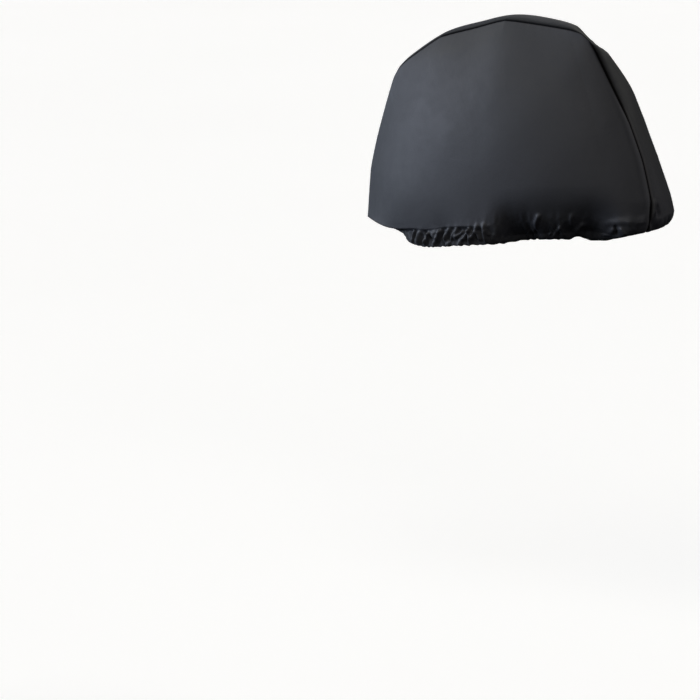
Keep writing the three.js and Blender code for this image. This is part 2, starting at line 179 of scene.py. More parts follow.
# Places where the elastic draws a panel's foot in, between x0 and x1 with soft ends: how deep, how far
# above the brim the hollow starts, and how far below the brim it is deepest.
HOLLOW_COLUMNS = "x0 x1 end depth top foot"
HOLLOWS = {
    -1: table(HOLLOW_COLUMNS, [
        (-150, -70, 60, 5.5, 66, 0),
        (60, 168, 44, 28, 54, 24),
        (50, 76, 20, 14, 36, 24),
        (166, 180, 40, 12, 38, 24),
    ]),
    1: table(HOLLOW_COLUMNS, [
        (-60, 30, 44, 16, 44, 24),
        (100, 176, 30, 26, 52, 24),
    ]),
}


TINY = 1e-12                  # keeps a vector without length from being divided by nothing


def smooth(low, high, value):
    """0 up to low, 1 from high on, and a soft step between."""
    share = np.clip((np.asarray(value, float) - low) / (high - low), 0, 1)
    return share * share * (3 - 2 * share)


def lerp(a, b, share):
    return a + (b - a) * share


def unit(vectors):
    return vectors / np.maximum(np.linalg.norm(vectors, axis=-1, keepdims=True), TINY)


def lengths_along(points, axis=0):
    """Running length, from 0, of the lines of points along an axis."""
    steps = np.linalg.norm(np.diff(points, axis=axis), axis=-1)
    return np.concatenate([np.zeros_like(steps.take([0], axis)), np.cumsum(steps, axis=axis)], axis)


def hermite(w, p1, p2, m1, m2):
    """A curve from p1 to p2 with the slopes m1 and m2, at the share w of the way."""
    squared, cubed = w * w, w * w * w
    return ((2 * cubed - 3 * squared + 1) * p1 + (cubed - 2 * squared + w) * m1
            + (3 * squared - 2 * cubed) * p2 + (cubed - squared) * m2)


def four_rows(values, t):
    """The rows round each t and the place between the middle two. Ends are carried straight on."""
    ends = [2 * values[:1] - values[1:2], values, 2 * values[-1:] - values[-2:-1]]
    padded = np.concatenate(ends)
    t = np.asarray(t, float)
    i = np.clip(np.floor(t).astype(int), 0, len(values) - 2)
    return [padded[i + k] for k in range(4)], t - i


def column(rows, key, t):
    """One column of a table, as a smooth curve through its rows. t counts rows."""
    (p0, p1, p2, p3), w = four_rows(rows[key], t)
    return hermite(w, p1, p2, (p2 - p0) / 2, (p3 - p1) / 2)


ARCH_CRISP = 0.65             # 0 rounds the arch's corners, 1 makes straight lines between its rows


def near_seam(t, crisp=ARCH_CRISP):
    """x and z of the near seam, with corners as crisp as asked for.

    Rows that stand close together don't make it overshoot.
    """
    (p0, p1, p2, p3), w = four_rows(np.stack([ARCH["x"], ARCH["z"]], -1), t)
    w = w[..., None]
    d0, d1, d2 = (np.sqrt(np.linalg.norm(b - a, axis=-1, keepdims=True))
                  for a, b in ((p0, p1), (p1, p2), (p2, p3)))
    m1 = ((p1 - p0) / d0 - (p2 - p0) / (d0 + d1) + (p2 - p1) / d1) * d1
    m2 = ((p2 - p1) / d1 - (p3 - p1) / (d1 + d2) + (p3 - p2) / d2) * d1
    return lerp(hermite(w, p1, p2, m1, m2), lerp(p1, p2, w), crisp)


def arch_outward(t, reach=0.35):
    """Outward direction of the arch in side view, as x and z, from the rows within reach."""
    run = unit(near_seam(np.minimum(t + reach, LAST)) - near_seam(np.maximum(t - reach, 0)))
    return np.stack([-run[..., 1], run[..., 0]], -1)


STRIP_HALF = 33.0             # half the finished width of the centre strip
STRIP_CRISP = 0.12            # share of the corners' crispness that is left in the middle of the strip


def strip_point(t, across, crisp=ARCH_CRISP):
    """A point of the strip's outer face: t along the arch, across from -1 (near) to 1 (far).

    crisp is for the corners at the two seams. Towards the middle of the strip they get rounder.
    """
    t, across = np.broadcast_arrays(np.asarray(t, float), np.asarray(across, float))
    far_share = (across + 1) / 2
    skew = np.stack([column(ARCH, "skew_x", t), column(ARCH, "skew_z", t)], -1)
    crown = column(ARCH, "crown", t) * (1 - across * across)
    crisp = crisp * lerp(STRIP_CRISP, 1, across ** 4)[..., None]
    xz = near_seam(t, crisp) + skew * far_share[..., None] + arch_outward(t) * crown[..., None]
    return np.stack([xz[..., 0], STRIP_HALF * across, xz[..., 1]], -1)


SEAM_SAMPLES = 401            # places at which a seam's length is measured


def seam_rows(side, start, end):
    """A function from a share of a seam's length, between two rows, to the row number."""
    rows = np.linspace(start, end, SEAM_SAMPLES)
    lengths = lengths_along(strip_point(rows, float(side)))
    return lambda share: np.interp(share, lengths / lengths[-1], rows)


BELLY = 88.0                  # how far a side panel stands out past the strip, at mid length
BELLY_POWER = 2.3             # plan shape of the brim: higher is boxier
RISE_POWER = 2.3              # side panel from brim to top seam: higher stays upright for longer
CORNER_BLEND = 16.0           # how far from a seam the hem turns to face the corner
SEAM_FADE = 12.0              # how far from a seam the gathers start
INNER_CRISP = 0.0             # crispness of the seams' corners as they carry on into a panel
CRISP_REACH = 0.09            # how far from a seam, as a share of the panel, that softening is complete
CREASE_ROUND = 0.5            # how rounded the corner ridges are
CREASE_START = (-5, 25)       # over which a ridge rises, along it
CREASE_END = (0.5, 1.15)      # over which it fades, as shares of its length
CREASE_CLEAR_SIDE = 0.06      # how far from a seam, as a share of the panel, the ridges are full
CREASE_CLEAR_TOP = 0.1
SHELF_SHARE = 0.6             # share of a crisp hem's inset that lies close below the brim
SHELF_END = 0.3               # where that part ends, as a share of the hem's section
SOFT_INSET_POWER = 1.8        # how late a soft hem is drawn in
CRISP_DROP_POWER = 1.5        # how late a crisp hem hangs down
PUCKERS = 36                  # gathers along a side
PUCKER_SPREAD = 1.4           # above 1, the gathers are tighter at the front than at the rear


def from_segment(x, y, x0, y0, x1, y1):
    """A segment's length, how far along it each place lies, times that length, and how far beside it."""
    dx, dy = x1 - x0, y1 - y0
    length = math.hypot(dx, dy)
    return length, (x - x0) * dx + (y - y0) * dy, ((x - x0) * dy - (y - y0) * dx) / length


def creases(side, x, z):
    """Height of the corner ridges at a place in side view."""
    lift = np.zeros(np.broadcast(x, z).shape)
    for x0, z0, x1, z1, height, width in zip(*CREASES[side].values()):
        length, along, away = from_segment(x, z, x0, z0, x1, z1)
        run = along / length
        tent = np.exp(-np.sqrt((away / width) ** 2 + CREASE_ROUND))
        lift += height * tent * smooth(*CREASE_START, run) * (1 - smooth(*CREASE_END, run / length))
    return lift


def hem_section(q, soft):
    """The hem from the brim (0) to its gathered edge (1): in and down, as fractions."""
    crisp_inward = SHELF_SHARE * smooth(0, SHELF_END, q) + (1 - SHELF_SHARE) * q
    inward = lerp(crisp_inward, q ** SOFT_INSET_POWER, soft)
    down = lerp(q ** CRISP_DROP_POWER, np.sin(q * np.pi / 2), soft)
    return inward, down


def gather(count, seed):
    """Uneven gathers: a wave of about -1 to 1 for a place counted in puckers.

    The odd numbers in it only keep its spacing and its height from repeating.
    """
    turn = 2 * np.pi * count + 0.9 * np.sin(2.3 * count + seed) + 0.5 * np.sin(5.1 * count)
    return (0.72 + 0.28 * np.sin(1.7 * count + 2 * seed)) * np.sin(turn)


class SidePanel:
    """One side panel's smooth outer face. u runs from front to rear, v from the brim to the top."""

    def __init__(self, side):
        self.side = side
        self.front = seam_rows(side, 0, BROW)
        self.top = seam_rows(side, BROW, EAR)
        self.rear = seam_rows(side, LAST, EAR)
        self.corners = [strip_point(float(t), float(side)) for t in (0, LAST, BROW, EAR)]

    def foot(self, u):
        """The brim at u: x, z, how far it stands out, its slope in plan, and the hem's row number."""
        front_foot, rear_foot, _, _ = self.corners
        x = HEM["x"][0] + u * HEM_LENGTH
        row = np.interp(x, HEM["x"], np.arange(HEM_LAST + 1))
        z = (column(HEM, "z", row) + (1 - u) * (front_foot[2] - HEM["z"][0])
             + u * (rear_foot[2] - HEM["z"][-1]))
        place = 2 * u - 1
        out = BELLY * (1 - np.abs(place) ** BELLY_POWER)
        slope = -BELLY * BELLY_POWER * np.abs(place) ** (BELLY_POWER - 1) * np.sign(place) * 2 / HEM_LENGTH
        return lerp(front_foot[0], rear_foot[0], u), z, out, slope, row

    def edges(self, u, v, crisp):
        """The front, rear and top seams at a place's height and length."""
        rows = (self.front(v), self.rear(v), self.top(u))
        return [strip_point(t, float(self.side), crisp) for t in rows]

    def point(self, u, v):
        """A point of the face. Its side view is a patch between the brim and the three seams."""
        u, v = np.broadcast_arrays(np.asarray(u, float), np.asarray(v, float))
        foot_x, foot_z, out, _, _ = self.foot(u)
        left, right, up = self.edges(u, v, INNER_CRISP)
        front_foot, rear_foot, brow, ear = self.corners

        def patch(low, axis):
            return ((1 - v) * low + v * up[..., axis] + (1 - u) * left[..., axis] + u * right[..., axis]
                    - (1 - u) * (1 - v) * front_foot[axis] - u * (1 - v) * rear_foot[axis]
                    - (1 - u) * v * brow[axis] - u * v * ear[axis])

        x, z = patch(foot_x, 0), patch(foot_z, 2)
        for inner, seam, away in zip((left, right, up), self.edges(u, v, ARCH_CRISP), (u, 1 - u, 1 - v)):
            pull = 1 - smooth(0, CRISP_REACH, away)
            x, z = x + pull * (seam - inner)[..., 0], z + pull * (seam - inner)[..., 2]
        from_seam = (smooth(0, CREASE_CLEAR_SIDE, u) * smooth(0, CREASE_CLEAR_SIDE, 1 - u)
                     * smooth(0, CREASE_CLEAR_TOP, 1 - v))
        stand = out * (1 - v ** RISE_POWER) + from_seam * creases(self.side, x, z)
        return np.stack([x, self.side * (STRIP_HALF + stand), z], -1)

    def outward(self, u):
        """The way the brim faces in plan by its slope alone."""
        slope = self.foot(u)[3]
        return unit(np.stack([-slope, np.full(u.shape, float(self.side)), np.zeros(u.shape)], -1))

    def facing(self, u):
        """The way the brim faces in plan. At a seam it turns to the corner's own direction."""
        u = np.asarray(u, float)
        plain, end = self.outward(u), self.outward(np.round(u))
        ahead = np.stack([np.where(u < 0.5, -1.0, 1.0), np.zeros(u.shape), np.zeros(u.shape)], -1)
        turn = np.exp(-((np.minimum(u, 1 - u) * HEM_LENGTH / CORNER_BLEND) ** 2))[..., None]
        return unit(lerp(plain, unit(ahead + end), turn))

    def puff(self, u):
        """The gathers' wave, which fades out at the seams."""
        fade = smooth(0, SEAM_FADE, np.minimum(u, 1 - u) * HEM_LENGTH)
        return fade * gather(PUCKERS * (1 - (1 - u) ** PUCKER_SPREAD), self.side)


FOLD_POWER = 2.4              # 2 rounds a fold's back, and higher flattens it and makes its sides steeper
FOLD_START = (-0.25, 0.2)     # over which a fold rises and fades, as shares of its length
FOLD_END = (0.8, 1.25)


def segment_folds(folds, x, rise):
    """Height of a table of straight folds at places along the hem."""
    lift = np.zeros(np.broadcast(x, rise).shape)
    for x0, rise0, x1, rise1, height, width in zip(*folds.values()):
        length, along, away = from_segment(x, rise, x0, rise0, x1, rise1)
        share = along / length ** 2
        ends = smooth(*FOLD_START, share) * (1 - smooth(*FOLD_END, share))
        lift += height * ends * np.exp(-np.abs(away / width) ** FOLD_POWER)
    return lift


def hollows(side, x, rise):
    """How far the foot of a panel is drawn in."""
    drawn = np.zeros(np.broadcast(x, rise).shape)
    for x0, x1, end, depth, top, foot in zip(*HOLLOWS[side].values()):
        along = smooth(x0 - end, x0, x) * (1 - smooth(x1, x1 + end, x))
        drawn += depth * along * np.clip((top - rise) / (top + foot), 0, 1) ** 2
    return drawn


def edge_steps(size, count, near, far):
    """Distances from 0 to size, as shares: count even steps, and the two lists of steps by the ends."""
    even = np.linspace(near[-1], size - far[-1], count + 1)[1:-1]
    return np.concatenate([near, even, size - np.array(far)[::-1]]) / size


SEAM_STEPS = [0, 0.5, 1.1, 1.6, 2.1, 2.6, 3.1, 3.8, 4.8, 6.2]    # distances from a seam of its close points
SEAM_STEP_COUNT = 2 * (len(SEAM_STEPS) - 1)
SEAM_GAP = 0.3                # between the two pieces that a seam joins


NORMAL_PASSES = 3             # how often the facings are softened


def grid_normals(points):
    """Facings of a grid of points, softened over a few neighbours."""
    along = np.gradient(points, axis=1)
    up = np.gradient(points, axis=0)
    facing = np.cross(along, up)
    for _ in range(NORMAL_PASSES):
        padded = np.pad(facing, ((1, 1), (1, 1), (0, 0)), mode="edge")
        facing = sum(padded[1 + i:padded.shape[0] - 1 + i, 1 + j:padded.shape[1] - 1 + j]
                     for i in (-1, 0, 1) for j in (-1, 0, 1))
    return unit(facing)


def in_scene(name, data):
    """A new object, linked to the scene."""
    thing = bpy.data.objects.new(name, data)
    bpy.context.scene.collection.objects.link(thing)
    return thing


class Cloth:
    """A sheet of cloth: outer and inner places of each point, and the faces of its outer side."""

    def __init__(self):
        self.outer, self.inner, self.uv, self.faces = [], [], [], []

    def add_points(self, outer, inner, uv):
        """Adds points and gives their numbers, in the same grid."""
        start = sum(len(block) for block in self.outer)
        self.outer.append(outer.reshape(-1, 3))
        self.inner.append(inner.reshape(-1, 3))
        self.uv.append(uv.reshape(-1, 2))
        return start + np.arange(outer.reshape(-1, 3).shape[0]).reshape(outer.shape[:-1])

    def add_grid(self, index, flip=False):
        """Adds the faces between a grid of points."""
        corners = [index[:-1, :-1], index[:-1, 1:], index[1:, 1:], index[1:, :-1]]
        quads = np.stack([c.reshape(-1) for c in (corners[::-1] if flip else corners)], -1)
        self.faces.append(quads)

    def build(self, name):
        """The sheet as an object: its outer side, its inner side, and a rim where it has an edge."""
        outer, inner = np.concatenate(self.outer), np.concatenate(self.inner)
        uv = np.concatenate(self.uv)
        faces = np.concatenate(self.faces)
        count = len(outer)
        edges = np.concatenate([faces[:, [k, (k + 1) % 4]] for k in range(4)])
        keys = edges[:, 0].astype(np.int64) * count + edges[:, 1]
        back = edges[:, 1].astype(np.int64) * count + edges[:, 0]
        open_edges = edges[~np.isin(keys, back)]
        rim = np.stack([open_edges[:, 1], open_edges[:, 0],
                        open_edges[:, 0] + count, open_edges[:, 1] + count], -1)
        everything = np.concatenate([faces, faces[:, ::-1] + count, rim])
        mesh = bpy.data.meshes.new(name)
        places = np.concatenate([outer, inner]) * MM
        mesh.vertices.add(len(places))
        mesh.vertices.foreach_set("co", places.astype(np.float32).ravel())
        mesh.loops.add(everything.size)
        mesh.loops.foreach_set("vertex_index", everything.astype(np.int32).ravel())
        mesh.polygons.add(len(everything))
        mesh.polygons.foreach_set("loop_start", np.arange(0, everything.size, 4, dtype=np.int32))
        mesh.update(calc_edges=True)
        both = np.concatenate([uv, uv])
        layer = mesh.uv_layers.new(name="cut")
        layer.data.foreach_set("uv", both[everything.ravel()].astype(np.float32).ravel())
        mesh.polygons.foreach_set("use_smooth", np.ones(len(everything), bool))
        mesh.validate()
        return in_scene(name, mesh)


CASING_TOP = 0.3              # where the casing starts, as a share of the hem's section
CASING_ROUND = 0.9            # where its edge starts to round
HEM_TURN = 0.34               # share of the hem's section that its turn at the brim takes up
PANEL_COLUMNS = 400
LOWER_ROWS = 34               # rows in the lowest stretch of a panel, where the folds are
LOWER_SHARE = 0.17            # how high that stretch is, as a share of the panel
UPPER_ROWS = 30
BAND_SHARES = np.concatenate([np.linspace(1, CASING_ROUND, 6)[:-1],
                              np.linspace(CASING_ROUND, HEM_TURN, 17)[:-1],
                              np.linspace(HEM_TURN, 0, 12)[:-1]])
SEAM_REFERENCE = 300.0        # mean height of a panel, for the steps by the top seam

panel_u = edge_steps(HEM_LENGTH, PANEL_COLUMNS - SEAM_STEP_COUNT, SEAM_STEPS, SEAM_STEPS)
lower_v = np.linspace(0, LOWER_SHARE, LOWER_ROWS + 1)
upper_steps = edge_steps(SEAM_REFERENCE * (1 - LOWER_SHARE), UPPER_ROWS, SEAM_STEPS, [0])
upper_v = 1 - upper_steps[::-1] * (1 - LOWER_SHARE)
panel_v = np.concatenate([lower_v[:-1], upper_v])


class PanelGrid:
    """A side panel's points, from its gathered edge up to the top seam, before and after its folds."""

    def __init__(self, side):
        shape = self.shape = SidePanel(side)
        self.side, self.band_rows = side, len(BAND_SHARES)
        self.brim = shape.point(panel_u, 0.0)
        out = shape.facing(panel_u)
        row = shape.foot(panel_u)[4]
        self.hem = {key: column(HEM, key, row) for key in ("inset", "drop", "soft", "pucker")}
        q, v = BAND_SHARES[:, None], panel_v[:, None]
        inward, down = hem_section(q, self.hem["soft"])
        band = self.brim + out * -(inward * self.hem["inset"])[..., None]
        band[..., 2] -= down * self.hem["drop"]
        face = shape.point(panel_u, v)
        self.base = np.concatenate([band, face])
        self.normal = grid_normals(self.base) * -side
        self.out = np.broadcast_to(out, self.base.shape)
        self.q = np.concatenate([np.broadcast_to(q, band.shape[:2]), np.zeros(face.shape[:2])])
        self.v = np.concatenate([np.zeros(band.shape[:2]), np.broadcast_to(v, face.shape[:2])])
        self.from_front, self.from_hem = lengths_along(self.base, 1), lengths_along(self.base)
        self.from_rear = self.from_front[:, -1:] - self.from_front
        self.from_top = self.from_hem[-1:] - self.from_hem

    def loop(self, values):
        """Values along the seam: up the front, along the top and down the rear."""
        return np.concatenate([values[:, 0], values[-1, 1:-1], values[::-1, -1]])

    def seam_t(self):
        """The arch's row number at each station of the loop."""
        shape = self.shape
        start, end = np.zeros(self.band_rows), np.full(self.band_rows, float(LAST))
        return np.concatenate([start, shape.front(panel_v), shape.top(panel_u[1:-1]),
                               shape.rear(panel_v[::-1]), end])

    def nearest(self):
        """For each point, its distance to the nearest seam and that seam station's number."""
        rows, columns = self.from_front.shape
        row, place = np.mgrid[0:rows, 0:columns]
        stations = np.stack([row, 2 * rows + columns - 3 - row, rows - 1 + place])
        distances = np.stack([self.from_front, self.from_rear, self.from_top])
        side = np.argmin(distances, axis=0)[None]
        return np.take_along_axis(distances, side, 0)[0], np.take_along_axis(stations, side, 0)[0]


STRIP_COLUMNS = 44
STRIP_PUCKERS = 5             # gathers across an end of the strip
STRIP_PUCKER = 2.6            # how deep they are
STRIP_SEEDS = (4, 7)          # front and rear
strip_across = 2 * edge_steps(2 * STRIP_HALF, STRIP_COLUMNS - SEAM_STEP_COUNT, SEAM_STEPS, SEAM_STEPS) - 1


class StripGrid:
    """The centre strip's points, from the front edge over the top to the rear edge."""

    def __init__(self, near, far):
        rows = near.band_rows
        t = lerp(near.seam_t()[:, None], far.seam_t()[:, None], (strip_across + 1) / 2)
        self.base = strip_point(t, strip_across)
        self.q, self.puff, self.drop = np.zeros((3, *t.shape))
        self.out = np.zeros(self.base.shape)
        corner = np.exp(-(((1 - np.abs(strip_across)) * STRIP_HALF / CORNER_BLEND) ** 2))[:, None]
        fade = smooth(0, SEAM_FADE, (1 - np.abs(strip_across)) * STRIP_HALF)
        for at_rear, seed in enumerate(STRIP_SEEDS):
            band = slice(len(t) - rows, len(t)) if at_rear else slice(0, rows)
            q = (BAND_SHARES[::-1] if at_rear else BAND_SHARES)[:, None]
            ends = [panel.shape.facing(float(at_rear)) for panel in (near, far)]
            ahead = np.array([1.0 if at_rear else -1.0, 0, 0])
            out = unit(lerp(ahead, np.where(strip_across[:, None] < 0, ends[0], ends[1]), corner))
            hem_row = HEM_LAST if at_rear else 0
            inset, drop, soft = (HEM[key][hem_row] for key in ("inset", "drop", "soft"))
            inward, down = hem_section(q, soft)
            brim = strip_point(float(LAST if at_rear else 0), strip_across)
            self.base[band] = brim + out * -(inward * inset)[..., None]
            self.base[band, :, 2] -= down * drop
            self.q[band] = q
            self.out[band] = out
            self.drop[band] = drop * down
            self.puff[band] = fade * gather(STRIP_PUCKERS * strip_across / 2, seed)
        self.normal = -grid_normals(self.base)
        self.from_near = lengths_along(self.base, 1)
        self.from_far = self.from_near[:, -1:] - self.from_near


# How the two seams look along their length, by the arch's row number: how far from the seam the panel
# and the strip start to turn into it, how deep it lies, the ridge that its allowance raises at the
# panel's edge, the trough beyond that ridge, and how far from the seam the painted shade reaches.
SEAM_COLUMNS = "t radius reach depth ridge trough dark"
SEAM_LOOK = {
    -1: table(SEAM_COLUMNS, [
        (0, 3.0, 5.0, 3.0, 0.3, 0.0, 1.6),
        (4.6, 3.0, 5.0, 3.4, 0.3, 0.0, 1.8),
        (5.2, 3.2, 6.0, 4.2, 0.3, 0.0, 3.2),
        (7, 3.4, 7.0, 4.6, 0.3, 0.0, 3.4),
        (9, 3.4, 9.0, 4.8, 0.3, 0.0, 3.2),
        (12, 3.4, 9.0, 4.8, 0.3, 0.0, 3.4),
        (12.7, 3.4, 10.0, 5.4, 0.2, 0.0, 5.6),
        (13.3, 3.6, 14.0, 6.4, 0.0, 0.0, 9.5),
        (14.5, 3.6, 20.0, 6.2, 0.1, 0.0, 5.0),
        (15.4, 3.2, 20.0, 5.2, 0.6, 0.2, 3.4),
        (16, 2.4, 14.0, 2.0, 0.8, 0.4, 1.0),
        (17.8, 2.2, 10.0, 1.8, 0.8, 0.4, 1.0),
        (18.2, 2.6, 8.0, 3.0, 0.5, 0.4, 1.8),
        (18.5, 3.0, 7.0, 3.4, 0.3, 0.2, 2.2),
        (19, 3.0, 5.0, 3.2, 0.2, 0.0, 2.2),
    ]),
    1: table(SEAM_COLUMNS, [
        (0, 3.0, 5.0, 3.0, 0.3, 0.0, 1.2),
        (6, 2.4, 8.0, 2.6, 0.7, 0.5, 1.4),
        (9, 3.6, 7.0, 4.0, 0.2, 0.0, 2.2),
        (13, 3.4, 12.0, 4.6, 0.3, 0.2, 2.6),
        (16, 2.4, 14.0, 3.0, 0.7, 0.8, 1.6),
        (19, 3.0, 5.0, 3.2, 0.2, 0.0, 1.6),
    ]),
}
RIDGE_FROM_SEAM, RIDGE_WIDTH = 3.4, 1.3
TROUGH_FROM_SEAM, TROUGH_WIDTH = 8.5, 3.6
ALLOWANCE = (2.5, 5.0, 8.0)   # how deep the seam's allowance stands inside, in steps
HEM_ALLOWANCE = 0.2           # share of that depth that is left inside the hem
ALLOWANCE_GROWS = 14.0        # distance above the brim over which it reaches its full depth
SEAM_RIPPLE = 0.15            # height of the small puckers that sewing leaves along a seam
RIPPLE_PITCH = 14.0
RIPPLE_START, RIPPLE_FADE = 3.0, 8.0    # distances from the seam
WALL = 0.6                    # share of a seam's depth that lies in its steep wall
WALL_FOOT, WALL_HEAD = 1.0, 3.0
TURN_SLOPE, TURN_ROLL = 1.1, 1.8        # how the cloth steepens towards a seam
STEEPEST = 1.3                # slope by the seam itself, in radians
STEEP_REACH = 2.2             # how far from the seam that slope ends


class Seam:
    """One of the two long seams: its stations, its mitre and the way from the strip to the panel."""

    def __init__(self, panel, strip_normal):
        self.t = panel.seam_t()
        self.points = panel.loop(panel.base)
        self.mitre = unit(unit(panel.loop(panel.normal)) + strip_normal)
        run = np.gradient(self.points, axis=0)
        away = unit(np.cross(run, self.mitre))
        self.away = away * np.where(away[:, 1:2] * panel.side < 0, -1, 1)
        look = SEAM_LOOK[panel.side]
        self.look = {key: np.interp(self.t, look["t"], look[key]) for key in look}
        lengths = lengths_along(self.points)
        self.ripple = gather(lengths / RIPPLE_PITCH, 2 + panel.side)
        band = panel.band_rows
        edge = np.minimum(np.abs(lengths - lengths[band]), np.abs(lengths - lengths[-1 - band]))
        inside = (lengths < lengths[band]) | (lengths > lengths[-1 - band])
        grown = HEM_ALLOWANCE + (1 - HEM_ALLOWANCE) * smooth(0, ALLOWANCE_GROWS, edge)
        self.allowance = np.where(inside, HEM_ALLOWANCE, grown)


def turn_in(points, normal, distance, station, seam, way):
    """Turns the cloth by a seam into it. way is 1 on the panel and -1 on the strip.

    Gives the turned points, and the way from each to the inner face.
    """
    radius = seam.look["radius" if way > 0 else "reach"][station]
    depth = seam.look["depth"][station]
    share = np.clip(1 - distance / radius, 0, 1)
    drop = depth * lerp(share ** 2, 1 - smooth(WALL_FOOT, WALL_HEAD, distance), WALL)
    steepness = np.arctan(depth / radius * (TURN_SLOPE * share + TURN_ROLL * share ** 3))
    steepness = np.maximum(steepness, STEEPEST * (1 - smooth(0, STEEP_REACH, distance)))
    mitre = unit(lerp(normal, seam.mitre[station], smooth(0, 1, share)[..., None]))
    away = seam.away[station] * way
    turned = points - mitre * drop[..., None] + away * (share * SEAM_GAP / 2)[..., None]
    back = unit(-normal * np.cos(steepness)[..., None] + away * np.sin(steepness)[..., None])
    return turned, back


def seam_relief(distance, station, seam, on_panel):
    """Height of the ridge, the trough and the small puckers beside a seam."""
    fade = np.exp(-distance / RIPPLE_FADE) * smooth(0, RIPPLE_START, distance)
    lift = SEAM_RIPPLE * seam.ripple[station] * fade
    if on_panel:
        ridge = np.exp(-((distance - RIDGE_FROM_SEAM) / RIDGE_WIDTH) ** 2)
        trough = np.exp(-((distance - TROUGH_FROM_SEAM) / TROUGH_WIDTH) ** 2)
        lift = lift + seam.look["ridge"][station] * ridge - seam.look["trough"][station] * trough
    return lift


def add_allowance(cloth, index, seam, way, thickness, uv):
    """The cut edge that stands inside along a seam, below the stations given by index."""
    rows_outer, rows_inner, rows_uv = [], [], []
    away = seam.away * way
    edge = seam.points + away * SEAM_GAP / 2
    for step in ALLOWANCE:
        outer = edge - seam.mitre * (seam.look["depth"] + step * seam.allowance)[:, None]
        rows_outer.append(outer)
        rows_inner.append(outer + away * thickness)
        rows_uv.append(uv + np.array([step, step]) * MM)
    block = cloth.add_points(np.stack(rows_outer), np.stack(rows_inner), np.stack(rows_uv))
    return np.concatenate([index[None], block])


CASING_STEP = 0.12            # over which the sheet thickens into the casing
EDGE_ROUND = 0.92             # 1 would bring the casing's edge to a line
NEAR_PUFF = 0.55              # share of the even gathers that is left between the placed folds
PUFF_ABOVE = 1.2              # how deep the gathers are just above a soft brim
PUFF_REACH = 0.06             # how far up they reach, as a share of the panel
PUFF_FULL = 0.45              # where in the hem's section they are at their deepest
EDGE_WAVE = 0.06              # how much they wave the hem's edge, as a share of its drop
EDGE_WAVE_FROM = 0.5
FOLD_CLEAR = (1, 9)           # distances from a seam over which the hem's folds start
ABOVE_BRIM = 0.04             # over which the folds turn from the hem's facing to the panel's
WAVE_CLEAR = (4, 40)          # distances from a seam over which the long waves start
STRIP_WAVE_CLEAR = (4, 26)
STRIP_PAINTED_SHADE = 1.4              # how much farther the painted shade by a seam reaches on the strip than on the panel

# Short folds along the hem: how many, the least distance from its ends, and the ranges within which each
# is drawn.
SMALL_FOLD_COUNT, SMALL_FOLD_MARGIN = 46, 14
SMALL_FOLD_SHIFT, SMALL_FOLD_RISE = (-4, 4), (-9, 2)
SMALL_FOLD_FALL, SMALL_FOLD_LEAN = (9, 20), (-9, 9)
SMALL_FOLD_SHARE, SMALL_FOLD_WIDTH = (0.4, 1), (1.5, 2.7)
SMALL_FOLD_SEED = 11
SMALL_FOLD_HEIGHT = {-1: 1.0, 1: 1.8}


def small_folds(seed, height):
    """Short uneven folds that lean both ways along the hem."""
    draw = np.random.default_rng(seed)
    first, last = HEM["x"][0] + SMALL_FOLD_MARGIN, HEM["x"][-1] - SMALL_FOLD_MARGIN
    rows = []
    for place in np.linspace(first, last, SMALL_FOLD_COUNT):
        x0 = place + draw.uniform(*SMALL_FOLD_SHIFT)
        rise0 = draw.uniform(*SMALL_FOLD_RISE)
        rise1 = rise0 - draw.uniform(*SMALL_FOLD_FALL)
        x1 = x0 + draw.uniform(*SMALL_FOLD_LEAN)
        own_height = height * draw.uniform(*SMALL_FOLD_SHARE)
        rows.append((x0, rise0, x1, rise1, own_height, draw.uniform(*SMALL_FOLD_WIDTH)))
    return table(FOLD_COLUMNS, rows)


def hem_thickness(q, sizes):
    """Thickness of the sheet along the hem, and how far its outer face draws back at the edge."""
    edge = np.clip((q - CASING_ROUND) / (1 - CASING_ROUND), 0, 1)
    casing = sizes.casing_thickness * smooth(CASING_TOP, CASING_TOP + CASING_STEP, q)
    full = (sizes.cloth_thickness + casing) / MM
    left = full * np.sqrt(1 - (EDGE_ROUND * edge) ** 2)
    return left, (full - left) / 2


# Long waves in the cloth: height, the distances along x and z over which each turns by a radian (below 0
# it turns back), and how much the seed shifts it.
WAVES = ((0.45, 31, 57, 1), (0.35, 17, -23, 2.1), (0.3, 71, 19, 0.7))


def slow_waves(x, z, seed):
    """Long shallow waves that keep a stretched panel from being perfectly smooth."""
    return sum(height * np.sin(x / along + z / up + shift * seed) for height, along, up, shift in WAVES)


